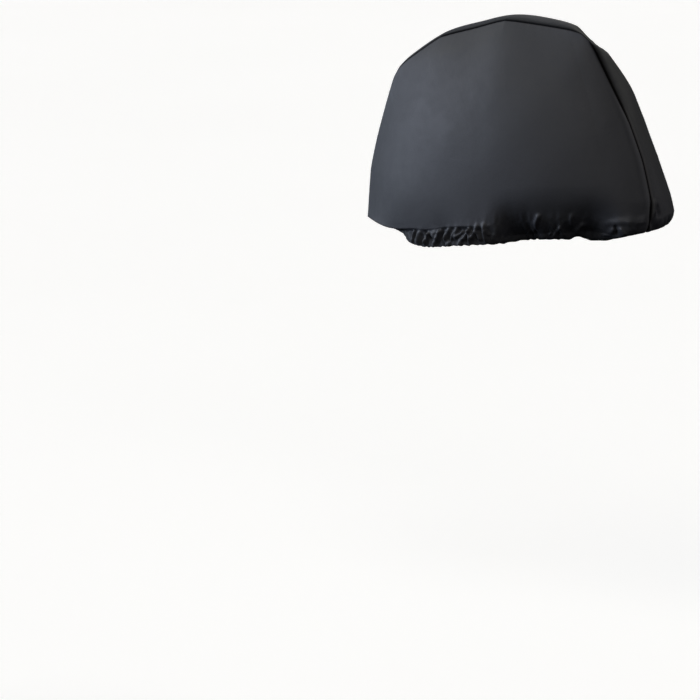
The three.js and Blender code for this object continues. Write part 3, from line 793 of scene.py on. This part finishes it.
def panel_surface(grid, seam, sizes):
    """A side panel's outer points with all their folds, the way to its inner face, and its cut places."""
    side = grid.side
    x, z = grid.base[..., 0], grid.base[..., 2]
    rise = z - grid.brim[:, 2]
    above = smooth(0, ABOVE_BRIM, grid.v)
    way = unit(lerp(grid.out, grid.normal, above[..., None]))
    puff = grid.shape.puff(panel_u) * (NEAR_PUFF if side < 0 else 1)
    even = grid.hem["pucker"] * puff * smooth(0, PUFF_FULL, grid.q)
    over = (1 - smooth(0, PUFF_REACH, grid.v)) * (grid.q == 0)
    even = even + PUFF_ABOVE * grid.hem["soft"] * puff * over
    fade = smooth(*FOLD_CLEAR, np.minimum(grid.from_front, grid.from_rear))
    placed = segment_folds(small_folds(SMALL_FOLD_SEED + side, SMALL_FOLD_HEIGHT[side]), x, rise)
    if side < 0:
        placed = placed + segment_folds(NEAR_HEM_FOLDS, x, rise)
    distance, station = grid.nearest()
    shelf = lerp(smooth(0, HEM_TURN, grid.q), 1, grid.hem["soft"])
    lift = (even + (placed * shelf - hollows(side, x, rise)) * fade) * sizes.fold_depth
    lift = lift + sizes.wave_depth / MM * slow_waves(x, z, side) * smooth(*WAVE_CLEAR, distance) * above
    lift = lift + seam_relief(distance, station, seam, True)
    points = grid.base + way * lift[..., None]
    points[..., 2] += EDGE_WAVE * grid.hem["drop"] * puff * smooth(EDGE_WAVE_FROM, 1, grid.q)
    points, back = turn_in(points, grid.normal, distance, station, seam, 1)
    thickness, draw_back = hem_thickness(grid.q, sizes)
    points = points + back * draw_back[..., None]
    uv = np.stack([grid.from_front, grid.from_hem], -1) * MM
    return points, back, thickness, uv


def sewn(name, surface, flip, edges, sizes):
    """A sheet and the allowances along its seams.

    Each edge gives its seam, what takes its points from a grid, its way, and whether its faces turn round.
    """
    points, back, thickness, uv = surface
    cloth = Cloth()
    index = cloth.add_points(points, points + back * thickness[..., None], uv)
    cloth.add_grid(index, flip)
    for seam, take, way, fin_flip in edges:
        fin = add_allowance(cloth, take(index), seam, way, sizes.cloth_thickness / MM, take(uv))
        cloth.add_grid(fin, fin_flip)
    return cloth.build(name)


def panel_cloth(name, grid, seam, sizes):
    """One side panel, with its seam allowance."""
    flip = grid.side > 0
    piece = sewn(name, panel_surface(grid, seam, sizes), flip, [(seam, grid.loop, 1, flip)], sizes)
    distance, station = grid.nearest()
    # Stores the painted highlight and the painted shade by the seams for the material.
    set_use(piece, distance, seam.look["dark"][station], grid.q)
    return piece


# Folds by the near seam at the strip's rear foot. Here x is the distance from the seam and rise is z.
STRIP_FOLDS = table(FOLD_COLUMNS, [
    (1, -290, 15, -306, -4, 5),
    (6, -260, 7, -281, 3, 2.4),
    (11, -268, 16, -284, -2.2, 3),
])
STRIP_WAVE_SEED = 5
HAIR = 1e-6                   # distances to the two seams that differ by less count as equal


def strip_surface(grid, seams, sizes):
    """The centre strip's outer points with all their folds, and the rest as for a panel."""
    lift = STRIP_PUCKER * grid.puff * smooth(0, PUFF_FULL, grid.q) * sizes.fold_depth
    way = np.where(grid.q[..., None] > 0, grid.out, grid.normal)
    rows = np.arange(len(grid.base))[:, None]
    station = np.broadcast_to(rows, grid.q.shape)
    x, z = grid.base[..., 0], grid.base[..., 2]
    nearest = np.minimum(grid.from_near, grid.from_far)
    middle = smooth(*STRIP_WAVE_CLEAR, nearest)
    waves = slow_waves(x + 2 * grid.base[..., 1], z, STRIP_WAVE_SEED) * middle * (grid.q == 0)
    lift = lift + sizes.wave_depth / MM * waves
    lift = lift + segment_folds(STRIP_FOLDS, grid.from_near, z) * (x > 0) * sizes.fold_depth
    points = grid.base + way * lift[..., None]
    points[..., 2] += EDGE_WAVE * grid.drop * grid.puff * smooth(EDGE_WAVE_FROM, 1, grid.q)
    back = -grid.normal
    for seam, distance in zip(seams, (grid.from_near, grid.from_far)):
        points = points + way * seam_relief(distance, station, seam, False)[..., None]
        turned, turned_back = turn_in(points, grid.normal, distance, station, seam, -1)
        beside = (distance < nearest + HAIR)[..., None]
        points = np.where(beside, turned, points)
        back = np.where(beside, turned_back, back)
    thickness, draw_back = hem_thickness(grid.q, sizes)
    points = points + back * draw_back[..., None]
    along = lengths_along(grid.base[:, STRIP_COLUMNS // 2])
    uv = np.stack([grid.from_near, np.broadcast_to(along[:, None], grid.q.shape)], -1) * MM
    return points, back, thickness, uv


def strip_cloth(name, grid, seams, sizes):
    """The centre strip, with its seam allowances."""
    edges = [(seams[0], lambda values: values[:, 0], -1, True),
             (seams[1], lambda values: values[:, -1], -1, False)]
    piece = sewn(name, strip_surface(grid, seams, sizes), True, edges, sizes)
    nearer = grid.from_near < grid.from_far
    # Stores the painted highlight and the painted shade by the seams for the material.
    dark = np.where(nearer, seams[0].look["dark"][:, None], seams[1].look["dark"][:, None])
    set_use(piece, np.minimum(grid.from_near, grid.from_far), STRIP_PAINTED_SHADE * dark, grid.q)
    return piece


# Painted highlight on the rolled ridges beside the seams, and a lighter colour along the casing.
RIDGE_HIGHLIGHT, CASING_TONE = 0.8, 0.35
RIDGE_HIGHLIGHT_WIDTH = 1.6              # of the painted highlight along the ridge beside a seam
CASING_TONE_FULL = 0.6             # where in the hem's section the lighter colour along the casing is full


def ridge_highlight_casing_share(distance, q):
    """Painted highlight on the rolled ridges beside the seams, and a lighter colour along the casing."""
    beside = np.exp(-((distance - RIDGE_FROM_SEAM) / RIDGE_HIGHLIGHT_WIDTH) ** 2)
    return RIDGE_HIGHLIGHT * beside + CASING_TONE * smooth(CASING_TOP, CASING_TONE_FULL, q)


def set_shares(piece, name, shares, rest):
    """Stores a value between 0 and 1 for each outer point. All other points have the value rest."""
    values = np.full(len(piece.data.vertices), rest, np.float32)
    values[:shares.size] = shares.ravel()
    piece.data.attributes.new(name, "FLOAT", "POINT").data.foreach_set("value", values)


def set_use(piece, distance, dark, q):
    """Stores the painted highlight on the seams' ridges with a lighter colour along the casing, and the
    painted shade by the seams.
    """
    set_shares(piece, "ridge_highlight_casing_tone", ridge_highlight_casing_share(distance, q), 0)
    set_shares(piece, "painted_seam_shade", np.exp(-((distance / dark) ** 2)), 1)


@functools.lru_cache(maxsize=None)
def cover_shape():
    """The two panels, the strip between them and the two seams, before their folds."""
    near, far = PanelGrid(-1), PanelGrid(1)
    strip = StripGrid(near, far)
    return near, far, strip, Seam(near, strip.normal[:, 0]), Seam(far, strip.normal[:, -1])


class Wire:
    """A shader value. Arithmetic on it adds Math nodes."""

    def __init__(self, finish, socket):
        self.finish, self.socket = finish, socket

    def math(self, operation, *values):
        return self.finish.node("ShaderNodeMath", {"operation": operation}, *values)

    def __add__(self, other):
        return self.math("ADD", self, other)

    def __radd__(self, other):
        return self.math("ADD", other, self)

    def __mul__(self, other):
        return self.math("MULTIPLY", self, other)

    def __rmul__(self, other):
        return self.math("MULTIPLY", other, self)

    def sine(self):
        return self.math("SINE", self)


def set_sockets(tree, pairs):
    """Sets each socket to its value, or links it where the value comes from a node."""
    for socket, value in pairs:
        value = value.socket if isinstance(value, Wire) else value
        if isinstance(value, bpy.types.NodeSocket):
            tree.links.new(value, socket)
        else:
            socket.default_value = value


def by_name(node, named):
    """A node's sockets with their values, from keywords."""
    return [(node.inputs[key.replace("_", " ")], value) for key, value in named.items()]


def new_node(tree, kind, settings=None, values=(), named=None):
    """Adds a node. Settings are set first, then its sockets, by place or by name."""
    node = tree.nodes.new(kind)
    for key, value in (settings or {}).items():
        setattr(node, key, value)
    set_sockets(tree, [*zip(node.inputs, values), *by_name(node, named or {})])
    return node


MIX_SOCKETS = (0, 6, 7)       # a Mix node's factor and its two colours


class Finish:
    """A material on one Principled shader, with a method that adds any other node."""

    def __init__(self, name, **constants):
        self.material = bpy.data.materials.new(name)
        self.material.use_nodes = True
        self.tree = self.material.node_tree
        self.shader = self.tree.nodes["Principled BSDF"]
        self.feed(**constants)
        self.place = self.node("ShaderNodeTexCoord", output=3)

    def node(self, kind, settings=None, *values, output=0, **named):
        """Adds a node and gives one of its outputs."""
        return Wire(self, new_node(self.tree, kind, settings, values, named).outputs[output])

    def feed(self, **named):
        """Sets or links the shader's own sockets."""
        set_sockets(self.tree, by_name(self.shader, named))

    def mix(self, share, first, second):
        """A mix of two colours."""
        node = new_node(self.tree, "ShaderNodeMix", {"data_type": "RGBA"})
        set_sockets(self.tree, zip([node.inputs[k] for k in MIX_SOCKETS], (share, first, second)))
        return Wire(self, node.outputs[2])

    def tone(self, share, colour, low, high):
        """A colour that goes from one brightness to another, given as factors."""
        return self.mix(share, opaque(colour, low), opaque(colour, high))

    def noise(self, scale, detail, **more):
        """Noise that stays with the piece."""
        return self.node("ShaderNodeTexNoise", {}, Vector=self.place, Scale=scale, Detail=detail, **more)

    def bump(self, strength, distance, height):
        """Feeds fine relief to the shader."""
        self.feed(Normal=self.node("ShaderNodeBump", {}, Strength=strength, Distance=distance,
                                   Height=height))


def opaque(colour, factor=1.0):
    return tuple(channel * factor for channel in colour) + (1.0,)


def coated_cloth(colours):
    """Dark coated polyester: a fine plain weave under a satin coat, a little uneven in colour."""
    cloth = Finish("coated_polyester", Specular_IOR_Level=0.32, Sheen_Weight=0.02, Sheen_Roughness=0.45,
                   Sheen_Tint=(0.75, 0.82, 1.0, 1.0))
    cut = cloth.node("ShaderNodeUVMap", {"uv_map": "cut"})
    mottle = cloth.noise(55.0, 3.0, Roughness=0.6)
    across, along = (cloth.node("ShaderNodeSeparateXYZ", {}, cut, output=k) for k in range(2))
    turns = 2 * math.pi / colours.weave_period
    weave = (across * turns).sine() * (along * turns).sine()
    shade = cloth.noise(7.0, 2.0) * 0.7 + mottle * 0.3
    tint = cloth.tone(shade, colours.cloth_colour, 0.9, 1.12)
    ridge_highlight_casing_tone, painted_seam_shade = (cloth.node("ShaderNodeAttribute", {"attribute_name": key}, output=2)
                    for key in ("ridge_highlight_casing_tone", "painted_seam_shade"))
    # Painted highlight on the seams' ridges, and a lighter colour along the casing.
    lightened = cloth.mix(ridge_highlight_casing_tone, tint, opaque(colours.ridge_highlight_casing_colour))
    # Painted shade by the seams: near black, rougher and metallic, so that no diffuse light shows there.
    cloth.feed(Base_Color=cloth.mix(painted_seam_shade, lightened, opaque(colours.cloth_colour, 0.08)),
               Roughness=0.5 + mottle * 0.16 + painted_seam_shade * 0.4, Metallic=painted_seam_shade * 0.9)
    cloth.bump(0.35, 0.0006, cloth.noise(85.0, 2.5, Distortion=0.6) * 0.8 + weave * 0.05)
    return cloth.material


def sewing_thread(colours):
    """Dark twisted thread."""
    thread = Finish("bonded_thread", Specular_IOR_Level=0.3)
    fleck = thread.noise(900.0, 2.0)
    thread.feed(Base_Color=thread.tone(fleck, colours.thread_colour, 0.6, 1.3),
                Roughness=0.55 + fleck * 0.2)
    twist = thread.node("ShaderNodeTexWave", {}, Vector=thread.place, Scale=700.0, Distortion=2.0)
    thread.bump(0.4, 0.0001, twist)
    return thread.material


def studio_floor(colours):
    """Pale matt floor."""
    floor = Finish("pale_floor", Specular_IOR_Level=0.1, Emission_Color=opaque(colours.floor_colour),
                   Emission_Strength=0.45)
    cloud = floor.noise(0.6, 3.0)
    floor.feed(Base_Color=floor.tone(cloud, colours.floor_colour, 0.98, 1.02), Roughness=0.8 + cloud * 0.1)
    return floor.material


def material(name, make, colours):
    """The named material, made on first use."""
    return bpy.data.materials.get(name) or make(colours)


def stitch_tree(measures, finish):
    """Geometry nodes that set stitches along a line of points that know their facing."""
    tree = bpy.data.node_groups.new("row_of_stitches", "GeometryNodeTree")
    tree.interface.new_socket("Line", in_out="INPUT", socket_type="NodeSocketGeometry")
    inputs = {}
    for name, value in measures.items():
        socket = tree.interface.new_socket(name, in_out="INPUT", socket_type="NodeSocketFloat")
        socket.default_value = value
        inputs[name] = socket.identifier
    tree.interface.new_socket("Stitches", in_out="OUTPUT", socket_type="NodeSocketGeometry")

    def add(kind, settings=None, *values, **named):
        return new_node(tree, kind, settings, values, named).outputs

    given = add("NodeGroupInput")
    curve = add("GeometryNodeMeshToCurve", Mesh=given["Line"])
    spaced = add("GeometryNodeResampleCurve", {"mode": "LENGTH"}, Curve=curve[0], Length=given["Pitch"])
    facing = add("GeometryNodeInputNamedAttribute", {"data_type": "FLOAT_VECTOR"}, Name="facing")
    run = add("GeometryNodeInputTangent")
    turn = add("FunctionNodeAxesToRotation", {"primary_axis": "Z", "secondary_axis": "X"},
               facing[0], run[0])
    size = add("ShaderNodeCombineXYZ", X=given["Length"], Y=given["Width"], Z=given["Height"])
    bead = add("GeometryNodeMeshUVSphere", Segments=8, Rings=4, Radius=0.5)
    placed = add("GeometryNodeInstanceOnPoints", Points=spaced[0], Instance=bead[0], Rotation=turn[0],
                 Scale=size[0])
    real = add("GeometryNodeRealizeInstances", Geometry=placed[0])
    shaded = add("GeometryNodeSetShadeSmooth", Geometry=real[0])
    finished = add("GeometryNodeSetMaterial", Geometry=shaded[0], Material=finish)
    add("NodeGroupOutput", {}, finished[0])
    return tree, inputs


STITCH_BELOW = 0.06           # how far below the casing's start the stitches run, by the hem's section
STITCH_ROW = int(np.argmin(np.abs(BAND_SHARES - CASING_TOP - STITCH_BELOW)))
STITCH_PROUD = 0.15           # how far outside the cloth's face the middle of a stitch lies
STITCH_MARGIN = 8             # points left bare at each end of a line


def hem_line(surface, row):
    """The stitches' line along a row of a surface, in metres, with its facings. Its ends are left off."""
    points, back = (part[row][STITCH_MARGIN:-STITCH_MARGIN] for part in surface[:2])
    return (points - back * STITCH_PROUD) * MM, -back


def stitches(name, lines, sizes, finish):
    """One mesh of stitches along the given lines, each a pair of points and facings."""
    mesh = bpy.data.meshes.new(name)
    starts = np.cumsum([0] + [len(points) for points, _ in lines])
    edges = [(start + k, start + k + 1) for start, (points, _) in zip(starts, lines)
             for k in range(len(points) - 1)]
    mesh.from_pydata(np.concatenate([points for points, _ in lines]).tolist(), edges, [])
    layer = mesh.attributes.new("facing", "FLOAT_VECTOR", "POINT")
    facings = np.concatenate([facing for _, facing in lines])
    layer.data.foreach_set("vector", facings.astype(np.float32).ravel())
    line = in_scene(name + "_line", mesh)
    measures = {"Length": sizes.stitch_length, "Width": sizes.thread_width,
                "Height": sizes.thread_height, "Pitch": sizes.stitch_pitch}
    tree, inputs = stitch_tree(measures, finish)
    modifier = line.modifiers.new("stitches", "NODES")
    modifier.node_group = tree
    for key, value in measures.items():
        modifier[inputs[key]] = value
    view = bpy.context.evaluated_depsgraph_get()
    view.update()
    finished = bpy.data.meshes.new_from_object(line.evaluated_get(view), depsgraph=view)
    finished.name = name
    bpy.data.objects.remove(line)
    return in_scene(name, finished)


def tied(piece):
    """Ties a piece to the one body."""
    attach(piece, "root")


class CoverSizes(bpy.types.PropertyGroup):
    """Sizes of the cover's cloth and thread."""
    cloth_thickness: FloatProperty(
        name="Cloth thickness", description="Thickness of the coated cloth",
        default=0.001, min=0.0003, max=0.003, unit="LENGTH")
    casing_thickness: FloatProperty(
        name="Casing thickness", description="What the turned casing and its elastic add to the cloth",
        default=0.0019, min=0.0, max=0.006, unit="LENGTH")
    fold_depth: FloatProperty(
        name="Fold depth", description="Depth of the hem's folds, as a share of the depth shown",
        default=1.0, min=0.0, max=1.5, subtype="FACTOR")
    wave_depth: FloatProperty(
        name="Wave depth", description="Height of the long shallow waves in the panels",
        default=0.0005, min=0.0, max=0.004, unit="LENGTH")
    stitch_length: FloatProperty(
        name="Stitch length", description="Length of one stitch of the hem",
        default=0.0027, min=0.001, max=0.01, unit="LENGTH")
    stitch_pitch: FloatProperty(
        name="Stitch pitch", description="Distance between the starts of two stitches",
        default=0.0034, min=0.001, max=0.01, unit="LENGTH")
    thread_width: FloatProperty(
        name="Thread width", description="Width of the sewing thread",
        default=0.0007, min=0.0002, max=0.002, unit="LENGTH")
    thread_height: FloatProperty(
        name="Thread height", description="Height of the sewing thread above the cloth",
        default=0.0005, min=0.0002, max=0.002, unit="LENGTH")


class CoverColours(bpy.types.PropertyGroup):
    """Colours and the fineness of the weave."""
    cloth_colour: FloatVectorProperty(
        name="Cloth", description="Colour of the coated cloth",
        default=(0.030, 0.032, 0.037), min=0.0, max=1.0, subtype="COLOR")
    # Colour of the painted highlight on the seams' ridges, also used for the lighter colour along the
    # casing.
    ridge_highlight_casing_colour: FloatVectorProperty(
        name="Lightened cloth", description="Colour of the cloth where its coat is rubbed",
        default=(0.052, 0.053, 0.056), min=0.0, max=1.0, subtype="COLOR")
    thread_colour: FloatVectorProperty(
        name="Thread", description="Colour of the sewing thread",
        default=(0.018, 0.018, 0.020), min=0.0, max=1.0, subtype="COLOR")
    floor_colour: FloatVectorProperty(
        name="Floor", description="Colour of the studio floor",
        default=(0.86, 0.86, 0.86), min=0.0, max=1.0, subtype="COLOR")
    weave_period: FloatProperty(
        name="Weave period", description="Distance over which the weave repeats",
        default=0.0009, min=0.0002, max=0.005, unit="LENGTH")


class StageSizes(bpy.types.PropertyGroup):
    """Camera, floor and lights."""
    camera_place: FloatVectorProperty(
        name="Camera place", description="Where the camera stands",
        default=(1.77056, -3.47493, 0.290), subtype="TRANSLATION", unit="LENGTH")
    camera_yaw: FloatProperty(
        name="Camera yaw", description="Turn of the view from the far side towards the rear",
        default=math.radians(-30.678), subtype="ANGLE")
    camera_pitch: FloatProperty(
        name="Camera pitch", description="Tilt of the view above the level",
        default=math.radians(-11.718), subtype="ANGLE")
    camera_lens: FloatProperty(
        name="Lens", description="Focal length on a 36 mm sensor",
        default=131.25, min=10.0, unit="CAMERA")
    floor_height: FloatProperty(
        name="Floor height", description="Height of the floor, below the origin",
        default=-1.05, unit="LENGTH")
    floor_radius: FloatProperty(
        name="Floor radius", description="Radius of the floor",
        default=30.0, min=1.0, unit="LENGTH")
    key_strength: FloatProperty(
        name="Key strength", description="Strength of the main light",
        default=1.67, min=0.0)
    world_strength: FloatProperty(
        name="Ambient strength", description="Strength of the light from all round",
        default=0.0, min=0.0)


class COVER_OT_side_panels(bpy.types.Operator):
    """Cuts the two side panels, gathers their hems and turns their edges into the seams"""
    bl_idname = "cover.side_panels"
    bl_label = "Side panels"

    def execute(self, context):
        sizes, colours = context.scene.cover_sizes, context.scene.cover_colours
        near, far, _, near_seam_line, far_seam_line = cover_shape()
        finish = material("coated_polyester", coated_cloth, colours)
        for name, node, grid, seam in (("near_panel_cloth", "panel_near", near, near_seam_line),
                                       ("far_panel_cloth", "panel_far", far, far_seam_line)):
            piece = panel_cloth(name, grid, seam, sizes)
            piece.data.materials.append(finish)
            tied(piece)
            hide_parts(node)
        return {"FINISHED"}


class COVER_OT_centre_strip(bpy.types.Operator):
    """Cuts the strip that runs between the side panels from the front hem to the rear hem"""
    bl_idname = "cover.centre_strip"
    bl_label = "Centre strip"

    def execute(self, context):
        sizes, colours = context.scene.cover_sizes, context.scene.cover_colours
        _, _, strip, near_seam_line, far_seam_line = cover_shape()
        piece = strip_cloth("centre_strip_cloth", strip, (near_seam_line, far_seam_line), sizes)
        piece.data.materials.append(material("coated_polyester", coated_cloth, colours))
        tied(piece)
        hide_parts("centre_strip")
        return {"FINISHED"}


class COVER_OT_hem_stitches(bpy.types.Operator):
    """Sews the row of stitches that closes the casing all round the hem"""
    bl_idname = "cover.hem_stitches"
    bl_label = "Hem stitches"

    def execute(self, context):
        sizes, colours = context.scene.cover_sizes, context.scene.cover_colours
        near, far, strip, near_seam_line, far_seam_line = cover_shape()
        over = strip_surface(strip, (near_seam_line, far_seam_line), sizes)
        lines = [hem_line(panel_surface(near, near_seam_line, sizes), STITCH_ROW),
                 hem_line(panel_surface(far, far_seam_line, sizes), STITCH_ROW),
                 hem_line(over, STITCH_ROW), hem_line(over, -1 - STITCH_ROW)]
        finish = material("bonded_thread", sewing_thread, colours)
        piece = stitches("hem_stitches", lines, sizes, finish)
        if not piece.data.polygons:
            raise RuntimeError("no stitch was sewn")
        tied(piece)
        return {"FINISHED"}


class COVER_OT_stage(bpy.types.Operator):
    """Sets the floor, the lights and the camera"""
    bl_idname = "cover.stage"
    bl_label = "Stage"

    def execute(self, context):
        stage, colours = context.scene.cover_stage, context.scene.cover_colours
        add_floor(stage, material("pale_floor", studio_floor, colours))
        add_lights(stage)
        add_camera(stage)
        return {"FINISHED"}


FLOOR_SIDES = 96


def add_floor(stage, finish):
    """A level disc."""
    turn = np.linspace(0, 2 * np.pi, FLOOR_SIDES, endpoint=False)
    rim = np.stack([np.cos(turn), np.sin(turn)], -1) * stage.floor_radius
    points = [(x, y, stage.floor_height) for x, y in rim] + [(0, 0, stage.floor_height)]
    mesh = bpy.data.meshes.new("floor")
    faces = [(k, (k + 1) % FLOOR_SIDES, FLOOR_SIDES) for k in range(FLOOR_SIDES)]
    mesh.from_pydata(points, [], faces)
    floor = in_scene("floor", mesh)
    mesh.materials.append(finish)
    floor.visible_diffuse = floor.visible_glossy = False


LIGHT_DISTANCE = 3.0
LIGHT_SPREAD = 0.5            # in radians

# Lights as soft suns: compass angle of where it stands (0 is the rear, 90 the far side) and its height,
# both in degrees, its strength as a share of the key's, and its colour.
LIGHTS = [
    ("key", -150, 18, 1.0, (0.93, 1.0, 1.24)),
    ("front_low", -170, 0, 0.50, (0.88, 1.02, 1.19)),
    ("front_high", -170, 42, 0.37, (1.06, 1.01, 0.78)),
    ("fill", -125, 18, 0.23, (0.88, 1.01, 1.16)),
    ("high_fill", -100, 42, 0.25, (1.10, 0.99, 0.80)),
    ("rear_high", -65, 42, 0.20, (1.03, 1.0, 0.95)),
    ("rear_fill", -50, 18, 0.24, (1.04, 0.99, 1.02)),
    ("far_low", 110, 22, 0.09, (1.02, 1.0, 0.97)),
    ("rear_low", 35, 0, 0.20, (1.02, 0.99, 1.06)),
    ("rear_rim", 60, 42, 0.31, (1.03, 1.0, 0.90)),
]


def aimed(place, target):
    """A place and turn that looks from one point to another, with no roll."""
    back = (Vector(place) - Vector(target)).normalized()
    right = Vector((0, 0, 1)).cross(back).normalized()
    turned = Matrix((right, back.cross(right), back)).transposed().to_4x4()
    return Matrix.Translation(place) @ turned


def add_lights(stage):
    """Soft lights round the cover, and a light from all sides, whose strength is 0 unless it is set."""
    for name, compass, height, share, colour in LIGHTS:
        lamp = bpy.data.lights.new(name, "SUN")
        lamp.color, lamp.angle, lamp.energy = colour, LIGHT_SPREAD, stage.key_strength * share
        light = in_scene(name, lamp)
        turn, lift = math.radians(compass), math.radians(height)
        place = Vector((math.cos(turn) * math.cos(lift), math.sin(turn) * math.cos(lift), math.sin(lift)))
        light.matrix_world = aimed(place * LIGHT_DISTANCE, (0, 0, 0))
    world = bpy.data.worlds.new("studio")
    world.use_nodes = True
    background = world.node_tree.nodes["Background"]
    set_sockets(world.node_tree, by_name(background, {"Color": (1.0, 1.0, 1.0, 1.0),
                                                      "Strength": stage.world_strength}))
    bpy.context.scene.world = world
    bpy.context.scene.view_settings.view_transform = "Standard"


def add_camera(stage):
    """The camera, turned by its yaw and pitch."""
    yaw, pitch = stage.camera_yaw, stage.camera_pitch
    forward = Vector((math.cos(pitch) * math.sin(yaw), math.cos(pitch) * math.cos(yaw), math.sin(pitch)))
    lens = bpy.data.cameras.new("camera")
    lens.sensor_width, lens.lens = 36.0, stage.camera_lens
    lens.clip_end = 100.0
    camera = in_scene("camera", lens)
    place = Vector(stage.camera_place)
    camera.matrix_world = aimed(place, place + forward)
    bpy.context.scene.camera = camera


class COVER_PT_panel(bpy.types.Panel):
    """Sizes, colours and the steps that make the cover"""
    bl_idname = "COVER_PT_panel"
    bl_label = "Outboard motor cover"
    bl_space_type = "VIEW_3D"
    bl_region_type = "UI"
    bl_category = "Cover"

    def draw(self, context):
        for title, group in (("Cloth and thread", context.scene.cover_sizes),
                             ("Colours", context.scene.cover_colours),
                             ("Stage", context.scene.cover_stage)):
            box = self.layout.box()
            box.label(text=title)
            for key in group.__annotations__:
                box.prop(group, key)
        for step in STEPS:
            self.layout.operator(step.bl_idname)


GROUPS = {"cover_sizes": CoverSizes, "cover_colours": CoverColours, "cover_stage": StageSizes}
STEPS = (COVER_OT_side_panels, COVER_OT_centre_strip, COVER_OT_hem_stitches, COVER_OT_stage)


def register():
    for kind in (*GROUPS.values(), *STEPS, COVER_PT_panel):
        bpy.utils.register_class(kind)
    for name, kind in GROUPS.items():
        setattr(bpy.types.Scene, name, PointerProperty(type=kind))


def unregister():
    for name in GROUPS:
        delattr(bpy.types.Scene, name)
    for kind in reversed((*GROUPS.values(), *STEPS, COVER_PT_panel)):
        bpy.utils.unregister_class(kind)


def main():
    register()
    bpy.ops.cover.side_panels()
    bpy.ops.cover.centre_strip()
    bpy.ops.cover.hem_stitches()
    bpy.ops.cover.stage()


if __name__ == "__main__":
    main()
